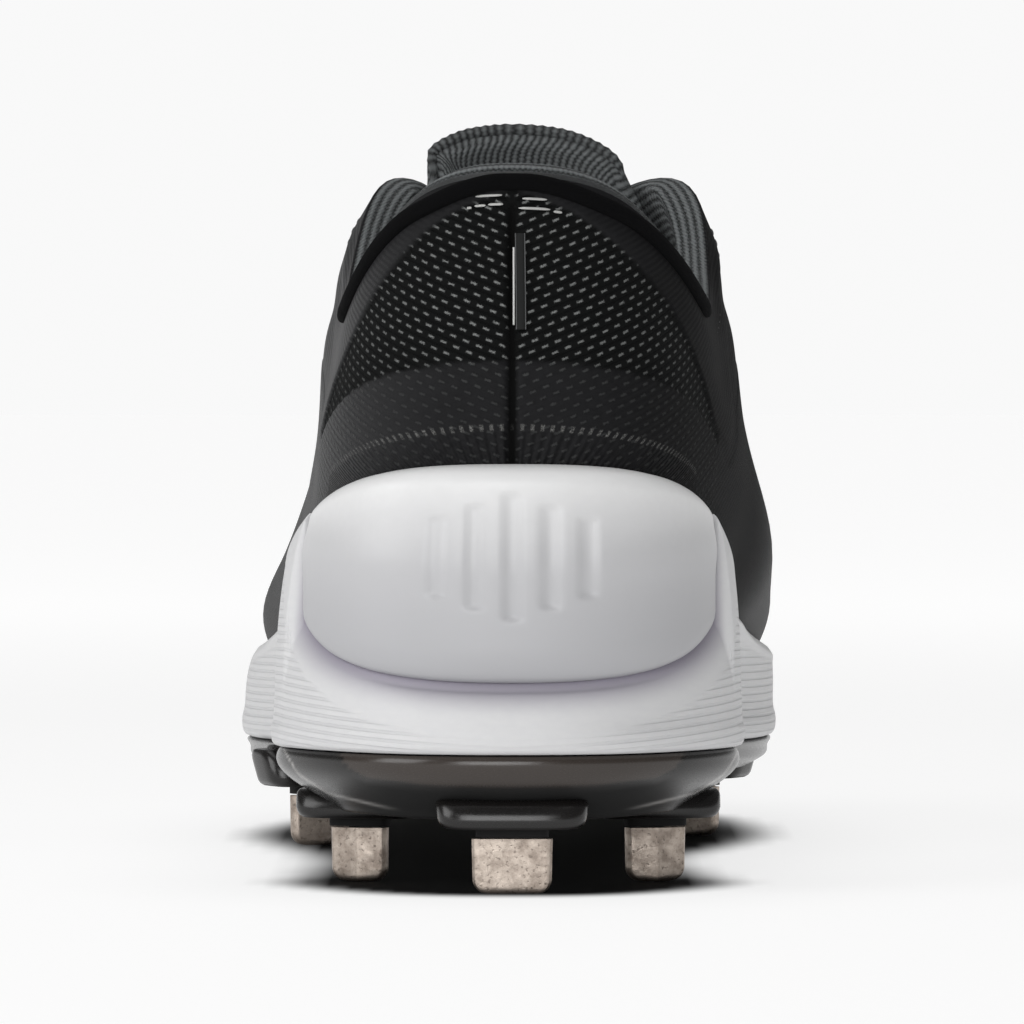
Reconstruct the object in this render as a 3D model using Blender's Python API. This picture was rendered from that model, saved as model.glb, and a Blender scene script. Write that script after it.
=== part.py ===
"""Baseball cleat, left foot: low cut, nine metal blades, knit collar, foam sole with a hard plate."""
import math

import bmesh
import bpy
import numpy as np
from mathutils import Vector
from mathutils.bvhtree import BVHTree

# Sizes of the shoe, in metres
LENGTH = 0.295
BALL_WIDTH = 0.102
HEEL_WIDTH = 0.082
HEEL_HEIGHT = 0.0815
INSTEP_HEIGHT = 0.0845

# Heights over the floor: footbed, lower edge of the foam, underside of the plate
HEEL_FLOOR = 0.044
BALL_FLOOR = 0.030
TOE_FLOOR = 0.036
HEEL_EDGE = 0.0246
BALL_EDGE = 0.0198
TOE_EDGE = 0.029
PLATE_DEPTH_HEEL = 0.012
PLATE_DEPTH_WAIST = 0.0055
PLATE_DEPTH_BALL = 0.006

# Walls and clearances
GAP = 0.0003
WALL = 0.0022
COLLAR_PAD = 0.0034
BORDER_STEP = 0.0005
CREST_THICKNESS = 0.0036
CAP_THICKNESS = 0.0052
CAP_EDGE = 0.0014
CAP_TOP = 0.0752
CAP_CORNER = 0.0665
CAP_SEAT = 0.0011
SLIT_ROOM = 0.0010
INSOLE_THICKNESS = 0.004
TONGUE_THICKNESS = 0.005
SIDE_BAND = 0.0052
SIDE_STEP = 0.0009

# Studs
STUD_HEIGHT = 0.0096
STUD_THICKNESS = 0.0028
STUD_FOLD = 0.0011
BOSS_MARGIN = 0.0062
BOSS_DEPTH = 0.0135
TOE_LIFT = 0.0018

# Laces
LACE_WIDTH = 0.0062
LACE_THICKNESS = 0.0016
LACE_ROWS = 5
LACE_ARCH = 0.0024
LACE_TOP = 0.385
LACE_LOW = 0.590
EYELET_LEVEL = 0.935

# Columns round the shoe: those of one side, and how many of them lie in the heel
HEEL_COLUMNS = 11
SIDE_COLUMNS = 36
CAP_COLUMNS = 8
HEEL_SHARE = 0.098

# Share of the ball's and instep's sizes in each station, from the heel to the toe's tip
FRONT_SHARE = (0.0, 0.0, 0.0, 0.15, 0.35, 0.6, 0.85, 1.0, 1.0, 1.0, 1.0, 1.0, 1.0)

# Columns: along (of LENGTH), outer side and inner side (of the width), rise over the footbed
# (of the height). Each ring closes at the heel and at the toe.
FEATHER = (
    (0.0475, 0.000, 0.000, 0.000),
    (0.0627, 0.207, 0.207, 0.000),
    (0.1186, 0.329, 0.323, 0.000),
    (0.1966, 0.353, 0.341, 0.000),
    (0.2712, 0.348, 0.320, 0.000),
    (0.3322, 0.340, 0.293, 0.000),
    (0.3966, 0.343, 0.288, 0.000),
    (0.4847, 0.368, 0.314, 0.000),
    (0.5763, 0.407, 0.392, 0.000),
    (0.6780, 0.422, 0.426, 0.000),
    (0.7966, 0.373, 0.402, 0.000),
    (0.9017, 0.250, 0.310, 0.000),
    (0.9525, -0.044, 0.044, 0.000),
)
BELLY = (
    (0.0278, 0.000, 0.000, 0.098),
    (0.0458, 0.262, 0.256, 0.110),
    (0.1119, 0.402, 0.390, 0.137),
    (0.1966, 0.427, 0.429, 0.159),
    (0.2712, 0.421, 0.444, 0.188),
    (0.3322, 0.404, 0.457, 0.198),
    (0.3966, 0.399, 0.465, 0.202),
    (0.4847, 0.420, 0.471, 0.195),
    (0.5763, 0.454, 0.483, 0.175),
    (0.6780, 0.474, 0.488, 0.154),
    (0.8068, 0.420, 0.456, 0.112),
    (0.9237, 0.272, 0.340, 0.082),
    (0.9712, -0.049, 0.049, 0.059),
)
CHEEK = (
    (0.0281, 0.000, 0.000, 0.319),
    (0.0468, 0.256, 0.262, 0.319),
    (0.1119, 0.394, 0.396, 0.309),
    (0.1949, 0.415, 0.453, 0.317),
    (0.2678, 0.404, 0.475, 0.369),
    (0.3254, 0.383, 0.463, 0.438),
    (0.3864, 0.362, 0.444, 0.464),
    (0.4746, 0.368, 0.436, 0.432),
    (0.5661, 0.392, 0.436, 0.364),
    (0.6678, 0.400, 0.436, 0.302),
    (0.7831, 0.361, 0.407, 0.237),
    (0.8881, 0.235, 0.298, 0.190),
    (0.9356, -0.044, 0.044, 0.148),
)
SHOULDER = (
    (0.0305, 0.000, 0.000, 0.540),
    (0.0492, 0.244, 0.262, 0.528),
    (0.1119, 0.380, 0.402, 0.493),
    (0.1932, 0.405, 0.462, 0.451),
    (0.2644, 0.388, 0.466, 0.515),
    (0.3186, 0.367, 0.436, 0.606),
    (0.3763, 0.318, 0.394, 0.654),
    (0.4644, 0.309, 0.338, 0.598),
    (0.5525, 0.324, 0.333, 0.483),
    (0.6508, 0.324, 0.328, 0.379),
    (0.7424, 0.284, 0.309, 0.296),
    (0.8237, 0.170, 0.228, 0.254),
    (0.8508, -0.034, 0.034, 0.219),
)
COLLAR = (
    (0.0390, 0.000, 0.000, 0.810),
    (0.0576, 0.220, 0.238, 0.785),
    (0.1136, 0.341, 0.384, 0.690),
    (0.1932, 0.365, 0.429, 0.610),
    (0.2644, 0.356, 0.434, 0.721),
    (0.3119, 0.330, 0.399, 0.858),
    (0.3593, 0.232, 0.298, 0.892),
    (0.4475, 0.201, 0.235, 0.775),
    (0.5254, 0.201, 0.225, 0.654),
    (0.6000, 0.196, 0.221, 0.538),
    (0.6610, 0.172, 0.201, 0.444),
    (0.7034, 0.093, 0.132, 0.379),
    (0.7153, -0.020, 0.020, 0.343),
)
TOPLINE = (
    (0.0441, 0.000, 0.000, 1.000),
    (0.0576, 0.183, 0.207, 0.963),
    (0.1068, 0.305, 0.354, 0.825),
    (0.1898, 0.347, 0.412, 0.732),
    (0.2644, 0.320, 0.399, 0.854),
    (0.3119, 0.243, 0.330, 1.038),
    (0.3525, 0.121, 0.162, 1.005),
    (0.4339, 0.108, 0.137, 0.876),
    (0.5085, 0.103, 0.127, 0.749),
    (0.5695, 0.098, 0.123, 0.639),
    (0.6068, 0.083, 0.108, 0.568),
    (0.6288, 0.044, 0.074, 0.507),
    (0.6356, -0.012, 0.012, 0.464),
)
LAST = (FEATHER, BELLY, CHEEK, SHOULDER, COLLAR, TOPLINE)

# Columns: along, outer side, inner side, footbed (1 heel or toe, 0 ball), lower edge of the foam
# (1 heel or toe, 0 ball), depth of the plate (heel, waist and ball shares), crest of the foam's
# outer side over the footbed (of the heel's height)
SOLE = (
    (0.0000, 0.000, 0.000, 1.000, 1.00, (1.0, 0.0, 0.0), -0.086),
    (0.0237, 0.287, 0.280, 1.000, 1.00, (1.0, 0.0, 0.0), -0.063),
    (0.1119, 0.504, 0.490, 0.986, 0.98, (1.0, 0.0, 0.0), 0.276),
    (0.1966, 0.488, 0.459, 0.929, 0.88, (0.8, 0.2, 0.0), 0.208),
    (0.2712, 0.447, 0.402, 0.821, 0.80, (0.2, 0.8, 0.0), 0.155),
    (0.3322, 0.413, 0.356, 0.679, 0.68, (0.0, 1.0, 0.0), 0.125),
    (0.3966, 0.404, 0.348, 0.500, 0.48, (0.0, 0.8, 0.2), 0.112),
    (0.4847, 0.436, 0.405, 0.250, 0.22, (0.0, 0.2, 0.8), 0.105),
    (0.5763, 0.493, 0.475, 0.086, 0.06, (0.0, 0.0, 1.0), 0.090),
    (0.6780, 0.519, 0.509, 0.000, 0.00, (0.0, 0.0, 1.0), 0.080),
    (0.8068, 0.461, 0.482, 0.083, 0.09, (0.0, 0.0, 1.0), 0.072),
    (0.9424, 0.290, 0.362, 0.500, 0.50, (0.0, 0.0, 0.9), 0.075),
    (1.0000, -0.059, 0.059, 1.000, 1.00, (0.0, 0.0, 0.8), 0.090),
)

# Crest of the foam's inner side at the same stations, lower than the outer one just ahead of the heel
INNER_CREST = (-0.086, -0.063, 0.276, 0.136, 0.104, 0.100, 0.105, 0.105, 0.090, 0.080, 0.072, 0.075, 0.090)

# Columns: along (of LENGTH), middle's place over the throat's edge or the footbed (of
# INSTEP_HEIGHT), outer and inner half width (of BALL_WIDTH), drop and set-back of the edges (of
# INSTEP_HEIGHT)
TONGUE = (
    (0.684, 0.424, 0.120, 0.140, 0.030, 0.000),
    (0.646, 0.472, 0.160, 0.180, 0.070, 0.000),
    (0.593, 0.577, 0.186, 0.206, 0.094, 0.000),
    (0.508, 0.735, 0.200, 0.220, 0.104, 0.000),
    (0.434, 0.860, 0.200, 0.226, 0.118, 0.000),
    (0.380, 0.950, 0.196, 0.230, 0.130, 0.030),
    (0.348, 1.030, 0.188, 0.240, 0.112, 0.070),
    (0.334, 1.112, 0.190, 0.262, 0.100, 0.080),
    (0.327, 1.148, 0.178, 0.262, 0.086, 0.076),
)

# Columns: name, along (of LENGTH), across (of BALL_WIDTH, + is the inner side), blade width, turn
# in degrees, fold, lifted by the toe spring
STUDS = (
    ("stud_heel_rear", 0.0320, 0.000, 0.0142, 0.0, 0.0, 0.0),
    ("stud_heel_outer", 0.1560, -0.267, 0.0103, -16.0, 1.0, 0.0),
    ("stud_heel_inner", 0.1560, 0.251, 0.0109, 16.0, 1.0, 0.0),
    ("stud_ball_outer", 0.5420, -0.363, 0.0118, 24.0, 1.0, 0.0),
    ("stud_fore_outer", 0.7050, -0.356, 0.0118, -20.0, 1.0, 0.0),
    ("stud_ball_inner", 0.6540, 0.343, 0.0118, -24.0, 1.0, 0.0),
    ("stud_fore_inner", 0.7880, 0.345, 0.0118, 22.0, 1.0, 0.0),
    ("stud_toe_outer", 0.8750, -0.160, 0.0118, 12.0, 1.0, 1.0),
    ("stud_toe_inner", 0.8850, 0.200, 0.0118, -12.0, 1.0, 1.0),
)

COLOURS = {
    "upper": (0.010, 0.011, 0.011),
    "knit": (0.036, 0.042, 0.046),
    "foam": (0.62, 0.62, 0.63),
    "plate": (0.012, 0.011, 0.011),
    "metal": (0.42, 0.37, 0.33),
    "insole": (0.02, 0.02, 0.022),
    "lace": (0.012, 0.012, 0.013),
}


def material(name, roughness, metallic=0.0):
    made = bpy.data.materials.get(name)
    if made is None:
        made = bpy.data.materials.new(name)
        made.use_nodes = True
        shader = made.node_tree.nodes["Principled BSDF"]
        shader.inputs["Base Color"].default_value = (*COLOURS[name], 1.0)
        shader.inputs["Roughness"].default_value = roughness
        shader.inputs["Metallic"].default_value = metallic
        made.diffuse_color = (*COLOURS[name], 1.0)
    return made


def closed_bends(knots, values):
    """Second derivatives of the smooth closed curve through values at knots, the last knot's span
    leading back to the first value."""
    count = len(values)
    spans = np.diff(knots)
    matrix = np.zeros((count, count))
    right = np.zeros((count,) + values.shape[1:])
    for i in range(count):
        before = spans[i - 1]
        after = spans[i]
        matrix[i, i - 1] += before
        matrix[i, i] += 2.0 * (before + after)
        matrix[i, (i + 1) % count] += after
        rise = (values[(i + 1) % count] - values[i]) / after
        fall = (values[i] - values[i - 1]) / before
        right[i] = 6.0 * (rise - fall)
    flat = np.linalg.solve(matrix, right.reshape(count, -1))
    return flat.reshape(values.shape)


def open_bends(knots, values):
    """Second derivatives of the smooth open curve through values at knots."""
    count = len(values)
    spans = np.diff(knots)
    matrix = np.eye(count)
    right = np.zeros((count,) + values.shape[1:])
    for i in range(1, count - 1):
        matrix[i, i - 1] = spans[i - 1]
        matrix[i, i] = 2.0 * (spans[i - 1] + spans[i])
        matrix[i, i + 1] = spans[i]
        rise = (values[i + 1] - values[i]) / spans[i]
        fall = (values[i] - values[i - 1]) / spans[i - 1]
        right[i] = 6.0 * (rise - fall)
    flat = np.linalg.solve(matrix, right.reshape(count, -1))
    return flat.reshape(values.shape)


def on_curve(knots, values, bends, at, closed):
    """Points of the curve at the parameters `at`, one for each."""
    at = np.asarray(at, dtype=float)
    if closed:
        at = np.mod(at, knots[-1])
    place = np.clip(np.searchsorted(knots, at, side="right") - 1, 0, len(knots) - 2)
    after = (place + 1) % len(values)
    span = knots[place + 1] - knots[place]
    b = (at - knots[place]) / span
    a = 1.0 - b
    shape = (-1,) + (1,) * (values.ndim - 1)
    a, b, span = a.reshape(shape), b.reshape(shape), span.reshape(shape)
    bend = (a ** 3 - a) * bends[place] + (b ** 3 - b) * bends[after]
    return a * values[place] + b * values[after] + bend * span * span / 6.0


def widths():
    share = np.array(FRONT_SHARE)
    return HEEL_WIDTH * (1.0 - share) + BALL_WIDTH * share


def heights():
    share = np.array(FRONT_SHARE)
    return HEEL_HEIGHT * (1.0 - share) + INSTEP_HEIGHT * share


def level_of(column, heel, ball, toe):
    """Height at each station from a column of SOLE that runs from 1 at the heel, by 0 at the
    ball, to 1 at the toe's tip."""
    shares = np.array([row[column] for row in SOLE])
    low = int(np.argmin(shares))
    end = np.where(np.arange(len(shares)) <= low, heel, toe)
    return ball + (end - ball) * shares


def footbed():
    return level_of(3, HEEL_FLOOR, BALL_FLOOR, TOE_FLOOR)


def edge():
    return level_of(4, HEEL_EDGE, BALL_EDGE, TOE_EDGE)


def ring_of(along, outer, inner, height):
    """Points of a closed ring: heel, outer side, toe, then the inner side back to the heel."""
    outer_side = np.stack([-outer, along, height], axis=1)
    inner_side = np.stack([inner, along, height], axis=1)
    return np.concatenate([outer_side, inner_side[-2:0:-1]])


def last_rings():
    rings = []
    for table in LAST:
        rows = np.array(table)
        along = rows[:, 0] * LENGTH
        outer = rows[:, 1] * widths()
        inner = rows[:, 2] * widths()
        rings.append(ring_of(along, outer, inner, footbed() + rows[:, 3] * heights()))
    return np.array(rings)


def ring_knots(rings):
    """Shared parameters of the rings: 0 at the heel, 0.5 at the toe's tip, the same on both
    sides."""
    steps = np.linalg.norm(np.roll(rings, -1, axis=1) - rings, axis=2).mean(axis=0)
    half = len(steps) // 2
    side = 0.5 * (steps[:half] + steps[half:][::-1])
    spans = np.concatenate([side, side[::-1]])
    knots = np.concatenate([[0.0], np.cumsum(spans)])
    return knots / knots[-1]


RINGS = last_rings()
KNOTS = ring_knots(RINGS)
RING_BENDS = np.array([closed_bends(KNOTS, ring) for ring in RINGS])


def level_knots(rings):
    steps = np.linalg.norm(np.diff(rings, axis=0), axis=2).mean(axis=1)
    knots = np.concatenate([[0.0], np.cumsum(steps)])
    return knots / knots[-1]


LEVELS = level_knots(RINGS)


def last_form(u, v):
    """Points of the last's surface: u runs round the shoe, v from the feather edge (0) to the
    topline (1). v has a value, or a column of values, for each u."""
    u = np.asarray(u, dtype=float)
    v = np.asarray(v, dtype=float)
    stack = [on_curve(KNOTS, ring, bend, u, True) for ring, bend in zip(RINGS, RING_BENDS)]
    rings = np.array(stack)
    bends = open_bends(LEVELS, rings)
    v = np.broadcast_to(v, v.shape[:-1] + (len(u),)) if v.ndim > 1 else np.broadcast_to(v, (len(u),))
    rows = v.reshape(-1, len(u))
    place = np.clip(np.searchsorted(LEVELS, rows, side="right") - 1, 0, len(LEVELS) - 2)
    span = (LEVELS[place + 1] - LEVELS[place])[..., None]
    b = (rows - LEVELS[place])[..., None] / span
    a = 1.0 - b
    column = np.arange(len(u))[None, :]
    bend = (a ** 3 - a) * bends[place, column] + (b ** 3 - b) * bends[place + 1, column]
    points = a * rings[place, column] + b * rings[place + 1, column] + bend * span * span / 6.0
    return points.reshape(v.shape + (3,))


def last_normal(u, v):
    """Unit normals of the last's surface, pointing out of the shoe."""
    u = np.asarray(u, dtype=float)
    v = np.asarray(v, dtype=float)
    step = 1.0e-4
    round_way = last_form(u + step, v) - last_form(u - step, v)
    up_way = last_form(u, v + step) - last_form(u, v - step)
    normal = np.cross(up_way, round_way)
    return normal / np.linalg.norm(normal, axis=-1, keepdims=True)


def smooth_step(low, high, value):
    t = np.clip((np.asarray(value, dtype=float) - low) / (high - low), 0.0, 1.0)
    return t * t * (3.0 - 2.0 * t)


# Lower film band and the smooth border at the topline, as shares of the way up
BAND_TOP = 0.615
BORDER_FOOT = 0.885


def overlay(v):
    """Step of the wall: a film band below, and a border along the topline and the throat."""
    v = np.asarray(v, dtype=float)
    low = np.where(v <= BAND_TOP, 1.0, 0.0)
    high = np.where(v >= BORDER_FOOT, 1.0, 0.0)
    return BORDER_STEP * (low + high)


def outside(u, v, offset=0.0):
    """The upper's outer face, or a face at `offset` over it."""
    depth = np.asarray(overlay(v) + offset)
    normal = last_normal(u, v)
    return last_form(u, v) + normal * np.broadcast_to(depth, normal.shape[:-1])[..., None]


def round_collar(u):
    """1 along the ankle's collar, 0 along the throat."""
    side = np.minimum(np.mod(u, 1.0), 1.0 - np.mod(u, 1.0))
    return 1.0 - smooth_step(0.185, 0.215, side)


def inside(u, v):
    """The upper's inner face: the wall's thickness in, with a pad round the collar."""
    v = np.asarray(v, dtype=float)
    pad = COLLAR_PAD * round_collar(u) * smooth_step(0.70, 0.86, v)
    depth = WALL + pad
    normal = last_normal(u, v)
    return last_form(u, v) - normal * np.broadcast_to(depth, normal.shape[:-1])[..., None]


def columns():
    """Parameters of the columns round the shoe, closer together round the heel."""
    heel = np.linspace(0.0, HEEL_SHARE, HEEL_COLUMNS, endpoint=False)
    side = np.linspace(HEEL_SHARE, 0.5, SIDE_COLUMNS - HEEL_COLUMNS + 1)
    half = np.concatenate([heel, side])
    return np.concatenate([half, 1.0 - half[-2:0:-1]])


U = columns()
HALF = len(U) // 2


def at_columns(values):
    """Values given at the stations, read at the columns."""
    values = np.asarray(values, dtype=float)
    closed = np.concatenate([values, values[-2:0:-1]])
    return on_curve(KNOTS, closed, closed_bends(KNOTS, closed), U, True)


def outline():
    """The sole's outline at the columns, in the plane."""
    rows = np.array([row[:3] for row in SOLE])
    ring = ring_of(rows[:, 0] * LENGTH, rows[:, 1] * widths(), rows[:, 2] * widths(), footbed() * 0.0)
    bends = closed_bends(KNOTS, ring)
    points = on_curve(KNOTS, ring, bends, U, True)[:, :2]
    way = on_curve(KNOTS, ring, bends, U + 1e-4, True) - on_curve(KNOTS, ring, bends, U - 1e-4, True)
    normal = np.stack([-way[:, 1], way[:, 0]], axis=1)
    return points, normal / np.linalg.norm(normal, axis=1, keepdims=True)


OUTLINE, OUTWARD = outline()
CENTRE_X = 0.5 * (OUTLINE[:, 0].max() + OUTLINE[:, 0].min())
EDGE_Z = at_columns(edge())
FLOOR_Z = at_columns(footbed())


def sole_ring(inset, height):
    """The outline moved in by `inset`, at the given height."""
    flat = OUTLINE - OUTWARD * np.broadcast_to(inset, (len(U),))[:, None]
    return np.column_stack([flat, np.broadcast_to(height, (len(U),))])


def crest_height():
    """Top edge of the foam's side. It follows the crease below the heel cap, and then steps up
    to the wings just past the cap's sides."""
    outer = at_columns(footbed() + np.array([row[6] for row in SOLE]) * HEEL_HEIGHT)
    inner = at_columns(footbed() + np.array(INNER_CREST) * HEEL_HEIGHT)
    wings = np.where(U > 0.5, inner, outer)
    place = np.minimum(np.arange(len(U)), len(U) - np.arange(len(U)))
    crease = HEEL_EDGE + SIDE_BAND + 0.0072 + 0.0100 * (place / CAP_COLUMNS) ** 2.4
    wing = np.where(place <= HEEL_COLUMNS, FLOOR_Z + 0.276 * HEEL_HEIGHT, wings)
    return np.where(place <= CAP_COLUMNS, crease, wing)


def level_at(height):
    """The v at which the upper's outer face reaches a height, at each column."""
    low = np.zeros(len(U))
    high = np.full(len(U), 0.6)
    for _ in range(30):
        middle = 0.5 * (low + high)
        below = last_form(U, middle)[:, 2] < height
        low = np.where(below, middle, low)
        high = np.where(below, high, middle)
    return 0.5 * (low + high)


CREST_Z = crest_height()
CREST_V = level_at(CREST_Z)
UNDER_CAP = np.minimum(np.arange(len(U)), len(U) - np.arange(len(U))) <= CAP_COLUMNS
BELLY_LEVEL = np.full(len(U), LEVELS[1])
WEDGE_LEVEL = 0.72 * BELLY_LEVEL
# the foam's seat stands a little further off where its top edge steps up beside the cap, and
# where it falls steeply ahead of the heel
BESIDE_SLIT = (np.roll(UNDER_CAP, 1) != UNDER_CAP) | (np.roll(UNDER_CAP, -1) != UNDER_CAP)
FALL = np.maximum(np.abs(np.roll(CREST_V, 1) - CREST_V), np.abs(np.roll(CREST_V, -1) - CREST_V))
SEAT_GAP = GAP + SLIT_ROOM * np.maximum(BESIDE_SLIT, 0.6 * smooth_step(0.03, 0.07, FALL))


def belly_face(u, offset):
    """The upper's widest line near the footbed, moved out by an offset in the plane."""
    level = np.full(len(u), LEVELS[1])
    flat = last_normal(u, level)
    flat[:, 2] = 0.0
    flat = flat / np.linalg.norm(flat, axis=1, keepdims=True)
    return outside(u, level) + flat * np.broadcast_to(offset, (len(u),))[:, None]


def under_cap(heel, elsewhere):
    return np.where(UNDER_CAP[:, None], heel, elsewhere)


def lifted(points, height):
    moved = points.copy()
    moved[:, 2] = height
    return moved


def new_object(name, points, faces, finish):
    mesh = bpy.data.meshes.new(name)
    moved = [(p[0] - CENTRE_X, p[1] - 0.5 * LENGTH, p[2]) for p in points]
    mesh.from_pydata(moved, [], faces)
    mesh.update()
    work = bmesh.new()
    work.from_mesh(mesh)
    bmesh.ops.recalc_face_normals(work, faces=work.faces)
    bmesh.ops.triangulate(work, faces=work.faces)
    work.to_mesh(mesh)
    work.free()
    mesh.shade_smooth()
    mesh.set_sharp_from_angle(angle=math.radians(38.0))
    made = bpy.data.objects.new(name, mesh)
    bpy.context.scene.collection.objects.link(made)
    mesh.materials.append(finish)
    return made


def band_faces(first, second, count):
    """Faces between two closed rings of points that start at the given indices."""
    faces = []
    for i in range(count):
        j = (i + 1) % count
        faces.append((first + i, first + j, second + j, second + i))
    return faces


def ladder(points, faces, ring, cells, sag=0.0):
    """Closes a ring with rungs from side to side, `cells` faces to a rung. `sag` moves the
    rungs' middles down."""
    count = len(U)
    rungs = []
    for i in range(1, HALF):
        left = ring + i
        right = ring + count - i
        rung = [left]
        for k in range(1, cells):
            t = k / cells
            place = np.asarray(points[left]) * (1.0 - t) + np.asarray(points[right]) * t
            place[2] -= np.broadcast_to(sag, (HALF + 1,))[i] * 4.0 * t * (1.0 - t)
            rung.append(len(points))
            points.append(place)
        rung.append(right)
        rungs.append(rung)
    for k in range(cells):
        faces.append((ring, rungs[0][k], rungs[0][k + 1]))
        faces.append((rungs[-1][k], ring + HALF, rungs[-1][k + 1]))
    for near, far in zip(rungs, rungs[1:]):
        for k in range(cells):
            faces.append((near[k], far[k], far[k + 1], near[k + 1]))


def stacked(name, rings, finish, cells=4):
    """A closed solid through rings, with ladders over the first and the last."""
    points = [p for ring in rings for p in ring]
    faces = []
    count = len(U)
    for k in range(len(rings) - 1):
        faces += band_faces(k * count, (k + 1) * count, count)
    ladder(points, faces, 0, cells)
    ladder(points, faces, (len(rings) - 1) * count, cells)
    return new_object(name, points, faces, finish)


def slab(name, front, back, finish):
    """A closed solid between two grids of points of the same size."""
    rows, wide = front.shape[:2]
    points = list(front.reshape(-1, 3)) + list(back.reshape(-1, 3))
    shift = rows * wide
    faces = []
    for r in range(rows - 1):
        for c in range(wide - 1):
            a = r * wide + c
            quad = (a, a + 1, a + wide + 1, a + wide)
            faces.append(quad)
            faces.append(tuple(shift + i for i in reversed(quad)))
    border = [c for c in range(wide)]
    border += [r * wide + wide - 1 for r in range(1, rows)]
    border += [(rows - 1) * wide + c for c in range(wide - 2, -1, -1)]
    border += [r * wide for r in range(rows - 2, 0, -1)]
    for i, a in enumerate(border):
        b = border[(i + 1) % len(border)]
        faces.append((a, b, shift + b, shift + a))
    return new_object(name, points, faces, finish)


def make_upper():
    """One wall: outer face up from the feather edge, over the topline and down inside."""
    rise = (0.0, 0.07, 0.15, 0.25, 0.37, 0.50, BAND_TOP, BAND_TOP + 0.012, 0.75)
    rise += (BORDER_FOOT - 0.012, BORDER_FOOT, 0.98)
    fall = (0.98, 0.92, 0.85, 0.77, 0.60, 0.42, 0.25, 0.10, 0.0)
    rings = [outside(U, np.full(len(U), v)) for v in rise]
    rings[0] = lifted(rings[0], FLOOR_Z)
    top_out = outside(U, np.ones(len(U)))
    top_in = inside(U, np.ones(len(U)))
    along = last_form(U, np.ones(len(U))) - last_form(U, np.full(len(U), 0.99))
    along = along / np.linalg.norm(along, axis=1, keepdims=True)
    rings.append(top_out * 0.8 + top_in * 0.2 + along * WALL * 0.25)
    rings.append(top_out * 0.3 + top_in * 0.7 + along * WALL * 0.25)
    rings += [inside(U, np.full(len(U), v)) for v in fall]
    rings[-1] = lifted(rings[-1], FLOOR_Z)
    points = [p for ring in rings for p in ring]
    count = len(U)
    faces = []
    for k in range(len(rings)):
        faces += band_faces(k * count, (k + 1) % len(rings) * count, count)
    return new_object("upper", points, faces, material("upper", 0.75))


def midsole_side():
    """Rings of the foam's outer side, from the lower edge over the band's step to the crest.
    Under the heel cap the crest is a ledge, with a wedge behind the cap."""
    crest = lifted(outside(U, CREST_V, GAP + CREST_THICKNESS), CREST_Z)
    crest = under_cap(lifted(belly_face(U, GAP + CREST_THICKNESS), CREST_Z), crest)
    # the band is lower where the crest leaves it less room
    band = np.minimum(SIDE_BAND, 0.45 * (CREST_Z - EDGE_Z))
    shoulder = sole_ring(SIDE_STEP, EDGE_Z + band + SIDE_STEP * 0.6)
    rings = [
        sole_ring(0.0012, EDGE_Z),
        sole_ring(0.0002, EDGE_Z + 0.0012),
        sole_ring(0.0, EDGE_Z + band),
        shoulder,
    ]
    drop = lifted(crest, CREST_Z - np.minimum(0.0014, 0.2 * (CREST_Z - EDGE_Z)))
    for out_share, up_share in ((0.14, 0.36), (0.42, 0.70), (0.74, 0.90)):
        ring = shoulder * (1.0 - out_share) + drop * out_share
        ring[:, 2] = shoulder[:, 2] * (1.0 - up_share) + drop[:, 2] * up_share
        rings.append(ring)
    rings.append(drop)
    heel_ledge = lifted(belly_face(U, GAP + 0.85 * CREST_THICKNESS), CREST_Z)
    wing_top = lifted(outside(U, CREST_V, GAP + 0.72 * CREST_THICKNESS), CREST_Z)
    rings.append(under_cap(heel_ledge, wing_top))
    heel_foot = lifted(belly_face(U, CAP_SEAT), CREST_Z)
    wing_mid = lifted(outside(U, CREST_V, GAP + 0.46 * CREST_THICKNESS), CREST_Z)
    rings.append(under_cap(heel_foot, wing_mid))
    wedge = outside(U, WEDGE_LEVEL, SEAT_GAP)
    wedge_out = lifted(belly_face(U, CAP_SEAT), wedge[:, 2])
    wing_near = lifted(outside(U, CREST_V, GAP + 0.22 * CREST_THICKNESS), CREST_Z)
    rings.append(under_cap(wedge_out, wing_near))
    wing_in = lifted(outside(U, CREST_V, SEAT_GAP), CREST_Z)
    rings.append(under_cap(wedge, wing_in))
    return rings


def make_midsole():
    """Foam cup: its side, the seat for the upper, and the footbed's floor."""
    rings = midsole_side()
    top = np.where(UNDER_CAP, WEDGE_LEVEL, CREST_V)
    for share in (0.8, 0.6, 0.4, 0.2, 0.0):
        rings.append(outside(U, top * share, SEAT_GAP + 0.6 * GAP))
    rings[-1] = lifted(rings[-1], FLOOR_Z - GAP)
    return stacked("midsole", rings, material("foam", 0.5))


def plate_depth():
    parts = np.array([row[5] for row in SOLE])
    sizes = np.array([PLATE_DEPTH_HEEL, PLATE_DEPTH_WAIST, PLATE_DEPTH_BALL])
    return at_columns(parts @ sizes)


PLATE_Z = EDGE_Z - plate_depth()
BOWL = at_columns([0.017, 0.018, 0.020, 0.018, 0.014, 0.012, 0.011, 0.010, 0.009, 0.009, 0.010,
                   0.012, 0.012]) * BALL_WIDTH / 0.102


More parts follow.
